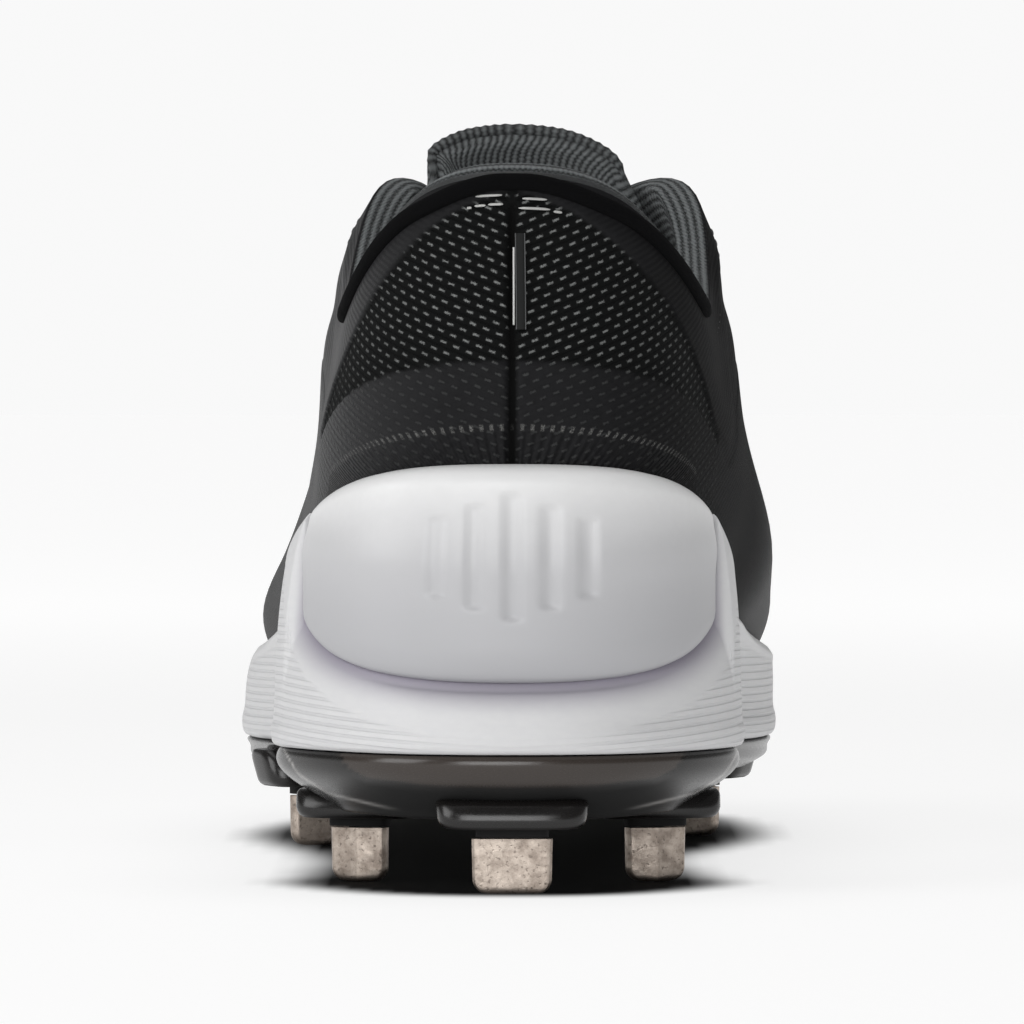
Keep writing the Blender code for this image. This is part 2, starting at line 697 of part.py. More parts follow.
def make_plate():
    """Hard plate: a shallow bowl under the foam, with a boss for each stud."""
    depth = EDGE_Z - GAP - PLATE_Z
    top = EDGE_Z - GAP
    rings = [
        sole_ring(0.0016, top),
        sole_ring(0.0010, top - 0.10 * depth),
        sole_ring(0.0016, top - 0.30 * depth),
        sole_ring(BOWL * 0.22, top - 0.62 * depth),
        sole_ring(BOWL * 0.55, top - 0.90 * depth),
        sole_ring(BOWL, top - depth),
    ]
    plate = stacked("outsole_plate", rings, material("plate", 0.22))
    for row in STUDS:
        boss = make_boss(row)
        joint = plate.modifiers.new("boss", "BOOLEAN")
        joint.operation = "UNION"
        joint.solver = "EXACT"
        joint.object = boss
    return plate


def stud_place(row):
    along = row[1] * LENGTH
    across = row[2] * BALL_WIDTH
    lift = TOE_LIFT * row[6]
    return along, across, lift


def plate_under(along, across):
    """Height of the plate's underside at a place, from the two columns nearest to it."""
    distance = np.abs(OUTLINE[:HALF + 1, 1] - along)
    near = int(np.argmin(distance))
    return float(PLATE_Z[near])


def make_boss(row):
    """Tapered block under the plate that holds a stud's blade."""
    along, across, lift = stud_place(row)
    low = lift + STUD_HEIGHT + GAP
    high = plate_under(along, across) + 0.0030
    half_wide = 0.5 * row[3] + BOSS_MARGIN
    half_deep = 0.5 * BOSS_DEPTH
    turn = math.radians(row[4])
    sides = 12
    points = []
    for height, share in ((low, 0.80), (low + 0.0008, 0.86), (high, 1.06)):
        for k in range(sides):
            angle = 2.0 * math.pi * (k + 0.5) / sides
            c, s = math.cos(angle), math.sin(angle)
            x = half_wide * share * math.copysign(abs(c) ** 0.62, c)
            y = half_deep * share * math.copysign(abs(s) ** 0.62, s)
            points.append((across + x * math.cos(turn) - y * math.sin(turn),
                           along + x * math.sin(turn) + y * math.cos(turn), height))
    faces = [tuple(range(sides - 1, -1, -1)), tuple(range(2 * sides, 3 * sides))]
    for k in range(2):
        faces += band_faces(k * sides, (k + 1) * sides, sides)
    boss = new_object(row[0].replace("stud", "boss"), points, faces, material("plate", 0.22))
    boss.hide_render = True
    boss.display_type = "WIRE"
    return boss


def make_stud(row):
    """Metal blade: folded about its middle, with a bevelled foot and rounded lower corners."""
    name, width = row[0], row[3]
    along, across, lift = stud_place(row)
    turn = math.radians(row[4])
    fold = STUD_FOLD * row[5]
    half_deep = 0.5 * STUD_THICKNESS
    # Columns: height share, width share, thickness share
    sections = ((1.0, 1.0, 1.0), (0.24, 0.97, 0.96), (0.10, 0.93, 0.86), (0.03, 0.83, 0.66))
    sections += ((0.0, 0.72, 0.5),)
    points = []
    for up, wide, deep in sections:
        w = 0.5 * width * wide
        d = half_deep * deep
        corner = min(0.0007, 0.3 * d)
        flat = [(-w, -d + corner), (-w + corner, -d), (0.0, -d - fold), (w - corner, -d), (w, -d + corner),
                (w, d - corner), (w - corner, d), (0.0, d - fold), (-w + corner, d), (-w, d - corner)]
        for x, y in flat:
            points.append((across + x * math.cos(turn) - y * math.sin(turn),
                           along + x * math.sin(turn) + y * math.cos(turn),
                           lift + STUD_HEIGHT * up))
    sides = 10
    faces = [tuple(range(sides)), tuple(range((len(sections) - 1) * sides, len(sections) * sides))]
    for k in range(len(sections) - 1):
        faces += band_faces(k * sides, (k + 1) * sides, sides)
    return new_object(name, points, faces, material("metal", 0.34, 1.0))


def make_heel_cap():
    """Smooth counter round the back of the heel, seated on the upper over the foam's crease."""
    place = np.arange(-CAP_COLUMNS, CAP_COLUMNS + 1)
    u = np.where(place < 0, 1.0 + np.take(U, np.abs(place)) * -1.0, np.take(U, np.abs(place)))
    share = np.abs(place) / CAP_COLUMNS
    low = CREST_Z[np.abs(place)] + GAP * 1.5
    high = CAP_TOP - (CAP_TOP - CAP_CORNER) * share ** 2.6
    rows = (0.0, 0.05, 0.18, 0.36, 0.56, 0.76, 0.92, 1.0)
    front, back = [], []
    for row in rows:
        height = low + (high - low) * row
        low_v, high_v = np.zeros(len(u)), np.full(len(u), 0.6)
        for _ in range(30):
            middle = 0.5 * (low_v + high_v)
            below = last_form(u, middle)[:, 2] < height
            low_v = np.where(below, middle, low_v)
            high_v = np.where(below, high_v, middle)
        round_rows = min(1.0, 6.0 * row + 0.72, 4.6 * (1.0 - row) + 0.05)
        round_sides = np.clip(5.0 * (1.0 - share) + 0.25, 0.0, 1.0)
        thick = CAP_THICKNESS * (1.0 - 0.36 * share ** 2)
        bulge = CAP_EDGE + (thick - CAP_EDGE) * round_rows * round_sides
        widest = last_form(u, np.full(len(u), LEVELS[1]))[:, 2]
        near = 1.0 - smooth_step(0.0020, 0.0120, height - widest)
        free = outside(u, low_v, GAP + CAP_SEAT * near)
        skin = outside(u, low_v, GAP + CAP_SEAT * near + bulge)
        below = (height < widest)[:, None]
        inner = np.where(below, belly_face(u, GAP + CAP_SEAT), free)
        outer = np.where(below, belly_face(u, GAP + CAP_SEAT + bulge), skin)
        front.append(lifted(outer, height))
        back.append(lifted(inner, height))
    return slab("heel_cap", np.array(front), np.array(back), material("foam", 0.5))


def make_insole():
    """Footbed on the foam's floor, inside the upper's wall."""
    zero = np.zeros(len(U))
    low = inside(U, zero)
    flat = last_normal(U, zero)[:, :2]
    flat = flat / np.linalg.norm(flat, axis=1, keepdims=True)
    low[:, :2] -= flat * GAP * 2.0
    low[:, 2] = FLOOR_Z + GAP * 0.2
    high = low.copy()
    high[:, 2] = FLOOR_Z + INSOLE_THICKNESS
    return stacked("insole", [low, high], material("insole", 0.8), cells=4)


def grid_normals(grid):
    down = np.gradient(grid, axis=0)
    over = np.gradient(grid, axis=1)
    normal = np.cross(over, down)
    normal = normal / np.linalg.norm(normal, axis=-1, keepdims=True)
    up = normal[..., 1:].sum(axis=-1, keepdims=True)
    return np.where(up < 0.0, -normal, normal)


def inner_wall_tree():
    levels = np.linspace(0.45, 1.0, 14)
    grid = np.array([inside(U, np.full(len(U), v)) for v in levels])
    points = [Vector(p) for p in grid.reshape(-1, 3)]
    faces = []
    for r in range(len(levels) - 1):
        faces += band_faces(r * len(U), (r + 1) * len(U), len(U))
    return BVHTree.FromPolygons(points, faces)


def make_tongue():
    """Padded tongue: an arched sheet under the throat's edges, standing up out of the collar."""
    tree = inner_wall_tree()
    rows = np.array(TONGUE)
    knots = np.linspace(0.0, 1.0, len(rows))
    fine = on_curve(knots, rows, open_bends(knots, rows), np.linspace(0.0, 1.0, 19), False)
    bed = np.interp(fine[:, 0], [row[0] for row in SOLE], footbed())
    middle_z = bed + fine[:, 1] * INSTEP_HEIGHT + (0.0022 - WALL)
    spread = np.linspace(-1.0, 1.0, 11)
    spread = np.sign(spread) * np.abs(spread) ** 0.85
    front = np.zeros((len(fine), len(spread), 3))
    for r, row in enumerate(fine):
        half = np.where(spread < 0.0, row[2], row[3]) * BALL_WIDTH
        front[r, :, 0] = spread * half
        front[r, :, 1] = row[0] * LENGTH - row[5] * INSTEP_HEIGHT * spread ** 2
        front[r, :, 2] = middle_z[r] - row[4] * INSTEP_HEIGHT * spread ** 2
    for _ in range(3):
        for r in range(front.shape[0]):
            for c in range(front.shape[1]):
                front[r, c] = cleared(tree, front[r, c])
    edge_share = np.minimum(1.0, 0.45 + 2.2 * (1.0 - np.abs(spread)))
    ends = np.minimum(1.0, 0.5 + 0.35 * np.minimum(np.arange(len(fine)), np.arange(len(fine))[::-1]))
    depth = TONGUE_THICKNESS * edge_share[None, :] * ends[:, None]
    back = front - grid_normals(front) * depth[..., None]
    return slab("tongue", front, back, material("knit", 0.85))


def cleared(tree, point):
    """Moves a point inwards until it clears the upper's inner face."""
    need = GAP * 3.6
    spot, normal, _, distance = tree.find_nearest(Vector(point))
    if spot is None or distance > 0.02:
        return point
    way = np.array(normal)
    middle = np.array((0.0, spot.y, 0.055))
    if np.dot(way, middle - np.array(spot)) < 0.0:
        way = -way
    reach = point - np.array(spot)
    depth = float(np.dot(reach, way))
    slip = float(np.linalg.norm(reach - depth * way))
    if slip < 0.0020 and depth < need:
        return point + way * (need - depth)
    return point


def throat_point(side, along, v, lift):
    """Place over the throat's border at a distance along the shoe, and the normal there."""
    fine = np.linspace(0.20, 0.5, 160)
    u = fine if side < 0 else 1.0 - fine
    y = last_form(u, np.full(len(u), v))[:, 1]
    at = np.array([np.interp(along, y, u)])
    level = np.array([v])
    return outside(at, level, lift)[0], last_normal(at, level)[0]


def make_strip(name, start, end, start_side, rise):
    """Flat lace from an eyelet on one side to one on the other, arched over the tongue."""
    lift = 2.0 * GAP + 0.5 * LACE_THICKNESS + 0.4 * rise
    places = (0.0, 0.28, 0.5, 0.72, 1.0)
    sides = (start_side, start_side, 0, -start_side, -start_side)
    spots, ups = [], []
    for place, side in zip(places, sides):
        along = start + (end - start) * place
        if side == 0:
            left, up_left = throat_point(-1, along, 1.0, lift)
            right, up_right = throat_point(1, along, 1.0, lift)
            middle = 0.5 * (up_left + up_right)
            middle[0] = 0.0
            middle = middle / np.linalg.norm(middle)
            spots.append(0.5 * (left + right) + middle * (LACE_ARCH + rise))
            ups.append(middle)
            continue
        on_rim = 0.0 < place < 1.0
        spot, up = throat_point(side, along, 1.0 if on_rim else EYELET_LEVEL, lift)
        spots.append(spot + up * (LACE_ARCH * 0.4 + rise * 0.5) * on_rim)
        ups.append(up)
    spots, ups = np.array(spots), np.array(ups)
    knots = np.array(places)
    at = np.linspace(0.0, 1.0, 7)
    path = on_curve(knots, spots, open_bends(knots, spots), at, False)
    up = on_curve(knots, ups, open_bends(knots, ups), at, False)
    ahead = np.gradient(path, axis=0)
    across = np.cross(ahead, up)
    across = across / np.linalg.norm(across, axis=1, keepdims=True)
    up = np.cross(across, ahead)
    up = up / np.linalg.norm(up, axis=1, keepdims=True)
    half_wide, half_deep = 0.5 * LACE_WIDTH, 0.5 * LACE_THICKNESS
    flat = ((-1.0, 0.0), (-0.8, 1.0), (0.8, 1.0), (1.0, 0.0), (0.8, -1.0), (-0.8, -1.0))
    points, faces = [], []
    for spot, side_way, up_way in zip(path, across, up):
        for a, b in flat:
            points.append(spot + side_way * a * half_wide + up_way * b * half_deep)
    for k in range(len(at) - 1):
        faces += band_faces(k * len(flat), (k + 1) * len(flat), len(flat))
    faces += [tuple(range(len(flat))), tuple(range(len(points) - len(flat), len(points)))]
    return new_object(name, points, faces, material("lace", 0.7))


def make_laces():
    """Lace crossings over the tongue, joined into one piece, with one bar at the lowest row."""
    rows = np.linspace(LACE_TOP, LACE_LOW, LACE_ROWS) * LENGTH
    laces = make_strip("laces", rows[-1], rows[-1], -1, 0.3 * LACE_THICKNESS)
    strips = []
    for k in range(LACE_ROWS - 1):
        strips.append(make_strip("lace_under_%d" % k, rows[k], rows[k + 1], -1, 0.0))
        strips.append(make_strip("lace_over_%d" % k, rows[k], rows[k + 1], 1, 0.6 * LACE_THICKNESS))
    for strip in strips:
        strip.hide_render = True
        strip.display_type = "WIRE"
        joint = laces.modifiers.new("strip", "BOOLEAN")
        joint.operation = "UNION"
        joint.solver = "EXACT"
        joint.object = strip
    return laces


def clear_scene():
    for thing in list(bpy.data.objects):
        bpy.data.objects.remove(thing, do_unlink=True)


def main():
    clear_scene()
    make_plate()
    make_midsole()
    make_upper()
    make_heel_cap()
    make_insole()
    make_tongue()
    make_laces()
    for row in STUDS:
        make_stud(row)


main()
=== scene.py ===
"""Looks of a low-cut baseball cleat, left foot, seen from straight behind: fine pieces over the
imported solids, their materials, a pale studio floor, soft lights and the camera."""

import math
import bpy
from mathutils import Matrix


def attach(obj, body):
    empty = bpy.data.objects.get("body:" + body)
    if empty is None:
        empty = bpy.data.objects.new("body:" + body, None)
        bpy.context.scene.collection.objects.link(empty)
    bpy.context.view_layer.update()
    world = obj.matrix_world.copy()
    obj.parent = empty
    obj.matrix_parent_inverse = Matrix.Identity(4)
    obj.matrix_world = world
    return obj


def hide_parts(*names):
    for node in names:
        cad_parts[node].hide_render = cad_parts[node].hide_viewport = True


bl_info = {
    "name": "Baseball cleat looks",
    "version": (1, 0, 0),
    "blender": (4, 5, 0),
    "location": "View3D > Sidebar > Cleat",
    "description": "Builds the dressed pieces, materials and studio of a baseball cleat",
    "category": "Add Mesh",
}

import bmesh
import bpy
import numpy as np
from mathutils import Vector
from mathutils.bvhtree import BVHTree

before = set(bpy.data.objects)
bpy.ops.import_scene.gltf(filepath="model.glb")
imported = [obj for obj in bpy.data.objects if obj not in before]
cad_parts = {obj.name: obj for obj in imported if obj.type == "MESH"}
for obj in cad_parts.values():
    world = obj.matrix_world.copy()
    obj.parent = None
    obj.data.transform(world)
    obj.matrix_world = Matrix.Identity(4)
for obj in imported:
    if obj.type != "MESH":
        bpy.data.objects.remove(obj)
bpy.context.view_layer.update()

# Sizes of the shoe, in metres, as in the part's source
LENGTH = 0.295
BALL_WIDTH = 0.102
HEEL_WIDTH = 0.082
HEEL_HEIGHT = 0.0815
INSTEP_HEIGHT = 0.0845
HEEL_FLOOR = 0.044
BALL_FLOOR = 0.030
TOE_FLOOR = 0.036
HEEL_EDGE = 0.0246
BALL_EDGE = 0.0198
TOE_EDGE = 0.029
PLATE_DEPTHS = (0.012, 0.0055, 0.006)
GAP = 0.0003
WALL = 0.0022
COLLAR_PAD = 0.0034
FILM = 0.0005
CREST_THICKNESS = 0.0036
CAP_THICKNESS = 0.0052
CAP_TOP = 0.0752
CAP_CORNER = 0.0665
CAP_SEAT = 0.0011
INSOLE_THICKNESS = 0.004
TONGUE_THICKNESS = 0.005
SIDE_BAND = 0.0052
SIDE_STEP = 0.0009
STUD_HEIGHT = 0.0096
STUD_THICKNESS = 0.0028
STUD_FOLD = 0.0011
BOSS_MARGIN = 0.0062
BOSS_DEPTH = 0.0135
TOE_LIFT = 0.0018
LACE_WIDTH = 0.0062
LACE_THICKNESS = 0.0016
LACE_ROWS = 5
LACE_ARCH = 0.0024
LACE_TOP = 0.385
LACE_LOW = 0.590
EYELET_LEVEL = 0.935
HEEL_SHARE = 0.098
HEEL_COLUMNS = 11
CAP_COLUMNS = 8
BAND_TOP = 0.615
BORDER_FOOT = 0.885

FRONT_SHARE = np.array((0.0, 0.0, 0.0, 0.15, 0.35, 0.6, 0.85, 1.0, 1.0, 1.0, 1.0, 1.0, 1.0))
WIDTHS = HEEL_WIDTH * (1.0 - FRONT_SHARE) + BALL_WIDTH * FRONT_SHARE
HEIGHTS = HEEL_HEIGHT * (1.0 - FRONT_SHARE) + INSTEP_HEIGHT * FRONT_SHARE

# The last: along (of the length), outer and inner side (of the width), rise (of the height)
FEATHER = (
    (0.0475, 0.000, 0.000, 0.000), (0.0627, 0.207, 0.207, 0.000), (0.1186, 0.329, 0.323, 0.000),
    (0.1966, 0.353, 0.341, 0.000), (0.2712, 0.348, 0.320, 0.000), (0.3322, 0.340, 0.293, 0.000),
    (0.3966, 0.343, 0.288, 0.000), (0.4847, 0.368, 0.314, 0.000), (0.5763, 0.407, 0.392, 0.000),
    (0.6780, 0.422, 0.426, 0.000), (0.7966, 0.373, 0.402, 0.000), (0.9017, 0.250, 0.310, 0.000),
    (0.9525, -0.044, 0.044, 0.000),
)
BELLY = (
    (0.0278, 0.000, 0.000, 0.098), (0.0458, 0.262, 0.256, 0.110), (0.1119, 0.402, 0.390, 0.137),
    (0.1966, 0.427, 0.429, 0.159), (0.2712, 0.421, 0.444, 0.188), (0.3322, 0.404, 0.457, 0.198),
    (0.3966, 0.399, 0.465, 0.202), (0.4847, 0.420, 0.471, 0.195), (0.5763, 0.454, 0.483, 0.175),
    (0.6780, 0.474, 0.488, 0.154), (0.8068, 0.420, 0.456, 0.112), (0.9237, 0.272, 0.340, 0.082),
    (0.9712, -0.049, 0.049, 0.059),
)
CHEEK = (
    (0.0281, 0.000, 0.000, 0.319), (0.0468, 0.256, 0.262, 0.319), (0.1119, 0.394, 0.396, 0.309),
    (0.1949, 0.415, 0.453, 0.317), (0.2678, 0.404, 0.475, 0.369), (0.3254, 0.383, 0.463, 0.438),
    (0.3864, 0.362, 0.444, 0.464), (0.4746, 0.368, 0.436, 0.432), (0.5661, 0.392, 0.436, 0.364),
    (0.6678, 0.400, 0.436, 0.302), (0.7831, 0.361, 0.407, 0.237), (0.8881, 0.235, 0.298, 0.190),
    (0.9356, -0.044, 0.044, 0.148),
)
SHOULDER = (
    (0.0305, 0.000, 0.000, 0.540), (0.0492, 0.244, 0.262, 0.528), (0.1119, 0.380, 0.402, 0.493),
    (0.1932, 0.405, 0.462, 0.451), (0.2644, 0.388, 0.466, 0.515), (0.3186, 0.367, 0.436, 0.606),
    (0.3763, 0.318, 0.394, 0.654), (0.4644, 0.309, 0.338, 0.598), (0.5525, 0.324, 0.333, 0.483),
    (0.6508, 0.324, 0.328, 0.379), (0.7424, 0.284, 0.309, 0.296), (0.8237, 0.170, 0.228, 0.254),
    (0.8508, -0.034, 0.034, 0.219),
)
COLLAR = (
    (0.0390, 0.000, 0.000, 0.810), (0.0576, 0.220, 0.238, 0.785), (0.1136, 0.341, 0.384, 0.690),
    (0.1932, 0.365, 0.429, 0.610), (0.2644, 0.356, 0.434, 0.721), (0.3119, 0.330, 0.399, 0.858),
    (0.3593, 0.232, 0.298, 0.892), (0.4475, 0.201, 0.235, 0.775), (0.5254, 0.201, 0.225, 0.654),
    (0.6000, 0.196, 0.221, 0.538), (0.6610, 0.172, 0.201, 0.444), (0.7034, 0.093, 0.132, 0.379),
    (0.7153, -0.020, 0.020, 0.343),
)
TOPLINE = (
    (0.0441, 0.000, 0.000, 1.000), (0.0576, 0.183, 0.207, 0.963), (0.1068, 0.305, 0.354, 0.825),
    (0.1898, 0.347, 0.412, 0.732), (0.2644, 0.320, 0.399, 0.854), (0.3119, 0.243, 0.330, 1.038),
    (0.3525, 0.121, 0.162, 1.005), (0.4339, 0.108, 0.137, 0.876), (0.5085, 0.103, 0.127, 0.749),
    (0.5695, 0.098, 0.123, 0.639), (0.6068, 0.083, 0.108, 0.568), (0.6288, 0.044, 0.074, 0.507),
    (0.6356, -0.012, 0.012, 0.464),
)
# The sole: along, outer, inner, footbed share, edge share, plate shares, crest of the foam's side
SOLE = (
    (0.0000, 0.000, 0.000, 1.000, 1.00, (1.0, 0.0, 0.0), -0.086),
    (0.0237, 0.287, 0.280, 1.000, 1.00, (1.0, 0.0, 0.0), -0.063),
    (0.1119, 0.504, 0.490, 0.986, 0.98, (1.0, 0.0, 0.0), 0.276),
    (0.1966, 0.488, 0.459, 0.929, 0.88, (0.8, 0.2, 0.0), 0.208),
    (0.2712, 0.447, 0.402, 0.821, 0.80, (0.2, 0.8, 0.0), 0.155),
    (0.3322, 0.413, 0.356, 0.679, 0.68, (0.0, 1.0, 0.0), 0.125),
    (0.3966, 0.404, 0.348, 0.500, 0.48, (0.0, 0.8, 0.2), 0.112),
    (0.4847, 0.436, 0.405, 0.250, 0.22, (0.0, 0.2, 0.8), 0.105),
    (0.5763, 0.493, 0.475, 0.086, 0.06, (0.0, 0.0, 1.0), 0.090),
    (0.6780, 0.519, 0.509, 0.000, 0.00, (0.0, 0.0, 1.0), 0.080),
    (0.8068, 0.461, 0.482, 0.083, 0.09, (0.0, 0.0, 1.0), 0.072),
    (0.9424, 0.290, 0.362, 0.500, 0.50, (0.0, 0.0, 0.9), 0.075),
    (1.0000, -0.059, 0.059, 1.000, 1.00, (0.0, 0.0, 0.8), 0.090),
)
INNER_CREST = (-0.086, -0.063, 0.276, 0.136, 0.104, 0.100, 0.105, 0.105, 0.090, 0.080, 0.072, 0.075, 0.090)
# The tongue: along, middle's height, outer and inner half width, drop and set-back of the edges
TONGUE = (
    (0.684, 0.424, 0.120, 0.140, 0.030, 0.000), (0.646, 0.472, 0.160, 0.180, 0.070, 0.000),
    (0.593, 0.577, 0.186, 0.206, 0.094, 0.000), (0.508, 0.735, 0.200, 0.220, 0.104, 0.000),
    (0.434, 0.860, 0.200, 0.226, 0.118, 0.000), (0.380, 0.950, 0.198, 0.230, 0.130, 0.030),
    (0.348, 1.030, 0.214, 0.246, 0.112, 0.070), (0.334, 1.112, 0.232, 0.260, 0.100, 0.080),
    (0.327, 1.148, 0.232, 0.260, 0.086, 0.076),
)
# The studs: name, along, across (+ is the inner side), blade width, turn, fold, toe lift
STUDS = (
    ("stud_heel_rear", 0.0320, 0.000, 0.0142, 0.0, 0.0, 0.0),
    ("stud_heel_outer", 0.1560, -0.267, 0.0103, -16.0, 1.0, 0.0),
    ("stud_heel_inner", 0.1560, 0.251, 0.0109, 16.0, 1.0, 0.0),
    ("stud_ball_outer", 0.5420, -0.363, 0.0118, 24.0, 1.0, 0.0),
    ("stud_fore_outer", 0.7050, -0.356, 0.0118, -20.0, 1.0, 0.0),
    ("stud_ball_inner", 0.6540, 0.343, 0.0118, -24.0, 1.0, 0.0),
    ("stud_fore_inner", 0.7880, 0.345, 0.0118, 22.0, 1.0, 0.0),
    ("stud_toe_outer", 0.8750, -0.160, 0.0118, 12.0, 1.0, 1.0),
    ("stud_toe_inner", 0.8850, 0.200, 0.0118, -12.0, 1.0, 1.0),
)


# The last and its surfaces

def unit(ways):
    return ways / np.linalg.norm(ways, axis=-1, keepdims=True)


def gone_along(points, axis=0):
    """Distance covered from the first point on, in metres."""
    steps = np.linalg.norm(np.diff(points, axis=axis), axis=-1)
    start = np.zeros_like(np.take(steps, [0], axis=axis))
    return np.concatenate([start, np.cumsum(steps, axis=axis)], axis=axis)


def bends_of(knots, values, closed):
    """Second derivatives of the smooth curve through values at knots."""
    count = len(values)
    spans = np.diff(knots)
    matrix = np.zeros((count, count)) if closed else np.eye(count)
    right = np.zeros((count,) + values.shape[1:])
    for i in range(0 if closed else 1, count if closed else count - 1):
        before, after, ahead = spans[i - 1], spans[i], (i + 1) % count
        matrix[i, i] = 2.0 * (before + after)
        matrix[i, i - 1] += before
        matrix[i, ahead] += after
        right[i] = 6.0 * ((values[ahead] - values[i]) / after - (values[i] - values[i - 1]) / before)
    return np.linalg.solve(matrix, right.reshape(count, -1)).reshape(values.shape)


def on_curve(knots, values, bends, at, closed):
    """Points of the curve at the parameters `at`, one for each."""
    at = np.asarray(at, dtype=float)
    if closed:
        at = np.mod(at, knots[-1])
    place = np.clip(np.searchsorted(knots, at, side="right") - 1, 0, len(knots) - 2)
    after = (place + 1) % len(values)
    span = knots[place + 1] - knots[place]
    b = (at - knots[place]) / span
    shape = (-1,) + (1,) * (values.ndim - 1)
    b, span = b.reshape(shape), span.reshape(shape)
    a = 1.0 - b
    bend = (a ** 3 - a) * bends[place] + (b ** 3 - b) * bends[after]
    return a * values[place] + b * values[after] + bend * span * span / 6.0


def level_of(column, heel, ball, toe):
    """Height at each station from a column of SOLE that runs from heel to ball to toe."""
    shares = np.array([row[column] for row in SOLE])
    low = int(np.argmin(shares))
    return ball + (np.where(np.arange(len(shares)) <= low, heel, toe) - ball) * shares


def ring_of(along, outer, inner, height):
    outer_side = np.stack([-outer, along, height], axis=1)
    inner_side = np.stack([inner, along, height], axis=1)
    return np.concatenate([outer_side, inner_side[-2:0:-1]])


FOOTBED = level_of(3, HEEL_FLOOR, BALL_FLOOR, TOE_FLOOR)
EDGE = level_of(4, HEEL_EDGE, BALL_EDGE, TOE_EDGE)
RINGS = []
for table in (FEATHER, BELLY, CHEEK, SHOULDER, COLLAR, TOPLINE):
    rows = np.array(table)
    RINGS.append(ring_of(rows[:, 0] * LENGTH, rows[:, 1] * WIDTHS, rows[:, 2] * WIDTHS,
                         FOOTBED + rows[:, 3] * HEIGHTS))
RINGS = np.array(RINGS)
STEPS = np.linalg.norm(np.roll(RINGS, -1, axis=1) - RINGS, axis=2).mean(axis=0)
STEPS = 0.5 * (STEPS[:12] + STEPS[12:][::-1])
KNOTS = np.concatenate([[0.0], np.cumsum(np.concatenate([STEPS, STEPS[::-1]]))])
KNOTS = KNOTS / KNOTS[-1]
RING_BENDS = np.array([bends_of(KNOTS, ring, True) for ring in RINGS])
LEVELS = np.linalg.norm(np.diff(RINGS, axis=0), axis=2).mean(axis=1)
LEVELS = np.concatenate([[0.0], np.cumsum(LEVELS)])
LEVELS = LEVELS / LEVELS[-1]


def last_form(u, v):
    """The last's surface: u runs round the shoe from the heel, by the outer side and the toe, and
    v from the feather edge (0) to the topline (1). v has a value, or a column of them, for each u."""
    u = np.asarray(u, dtype=float)
    v = np.asarray(v, dtype=float)
    rings = np.array([on_curve(KNOTS, ring, bend, u, True) for ring, bend in zip(RINGS, RING_BENDS)])
    bends = bends_of(LEVELS, rings, False)
    rows = v.reshape(-1, len(u))
    place = np.clip(np.searchsorted(LEVELS, rows, side="right") - 1, 0, len(LEVELS) - 2)
    span = (LEVELS[place + 1] - LEVELS[place])[..., None]
    b = (rows - LEVELS[place])[..., None] / span
    a = 1.0 - b
    column = np.arange(len(u))[None, :]
    bend = (a ** 3 - a) * bends[place, column] + (b ** 3 - b) * bends[place + 1, column]
    points = a * rings[place, column] + b * rings[place + 1, column] + bend * span * span / 6.0
    return points.reshape(v.shape + (3,))


def last_normal(u, v):
    """Unit normals of the last's surface, pointing out of the shoe."""
    u = np.asarray(u, dtype=float)
    v = np.asarray(v, dtype=float)
    step = 1.0e-4
    round_way = last_form(u + step, v) - last_form(u - step, v)
    up_way = last_form(u, v + step) - last_form(u, v - step)
    normal = np.cross(up_way, round_way)
    return unit(normal)


def smooth_step(low, high, value):
    t = np.clip((np.asarray(value, dtype=float) - low) / (high - low), 0.0, 1.0)
    return t * t * (3.0 - 2.0 * t)


def over_last(u, v, offset):
    normal = last_normal(u, v)
    return last_form(u, v) + normal * np.broadcast_to(offset, normal.shape[:-1])[..., None]


def outside(u, v, offset=0.0):
    """The upper's outer face, with its film steps, or a face at `offset` over it."""
    v = np.asarray(v, dtype=float)
    return over_last(u, v, FILM * ((v <= BAND_TOP) | (v >= BORDER_FOOT)) + offset)


def side_of(u):
    """Distance round the shoe from the heel, as a share, the same on both sides."""
    return np.minimum(np.mod(u, 1.0), 1.0 - np.mod(u, 1.0))


def inside(u, v):
    """The upper's inner face: the wall's thickness in, with a pad round the collar."""
    v = np.asarray(v, dtype=float)
    pad = COLLAR_PAD * (1.0 - smooth_step(0.185, 0.215, side_of(u))) * smooth_step(0.70, 0.86, v)
    return over_last(u, v, -(WALL + pad))


def along_rim(values, u):
    """Values given at the stations, read round the shoe."""
    values = np.asarray(values, dtype=float)
    closed = np.concatenate([values, values[-2:0:-1]])
    return on_curve(KNOTS, closed, bends_of(KNOTS, closed, True), u, True)


def outline(u):
    """The sole's outline in the plane, and its outward way."""
    rows = np.array([row[:3] for row in SOLE])
    ring = ring_of(rows[:, 0] * LENGTH, rows[:, 1] * WIDTHS, rows[:, 2] * WIDTHS, FOOTBED * 0.0)
    bends = bends_of(KNOTS, ring, True)
    way = on_curve(KNOTS, ring, bends, u + 1e-4, True) - on_curve(KNOTS, ring, bends, u - 1e-4, True)
    normal = np.stack([-way[:, 1], way[:, 0]], axis=1)
    points = on_curve(KNOTS, ring, bends, u, True)[:, :2]
    return points, unit(normal)


COARSE = np.concatenate([np.linspace(0.0, HEEL_SHARE, 11, endpoint=False),
                         np.linspace(HEEL_SHARE, 0.5, 26)])
COARSE = np.concatenate([COARSE, 1.0 - COARSE[-2:0:-1]])
COARSE_POINTS = outline(COARSE)[0]
CENTRE_X = 0.5 * (COARSE_POINTS[:, 0].max() + COARSE_POINTS[:, 0].min())


def sole_ring(u, inset, height):
    points, outward = outline(u)
    flat = points - outward * np.broadcast_to(inset, (len(u),))[:, None]
    return np.column_stack([flat, np.broadcast_to(height, (len(u),))])


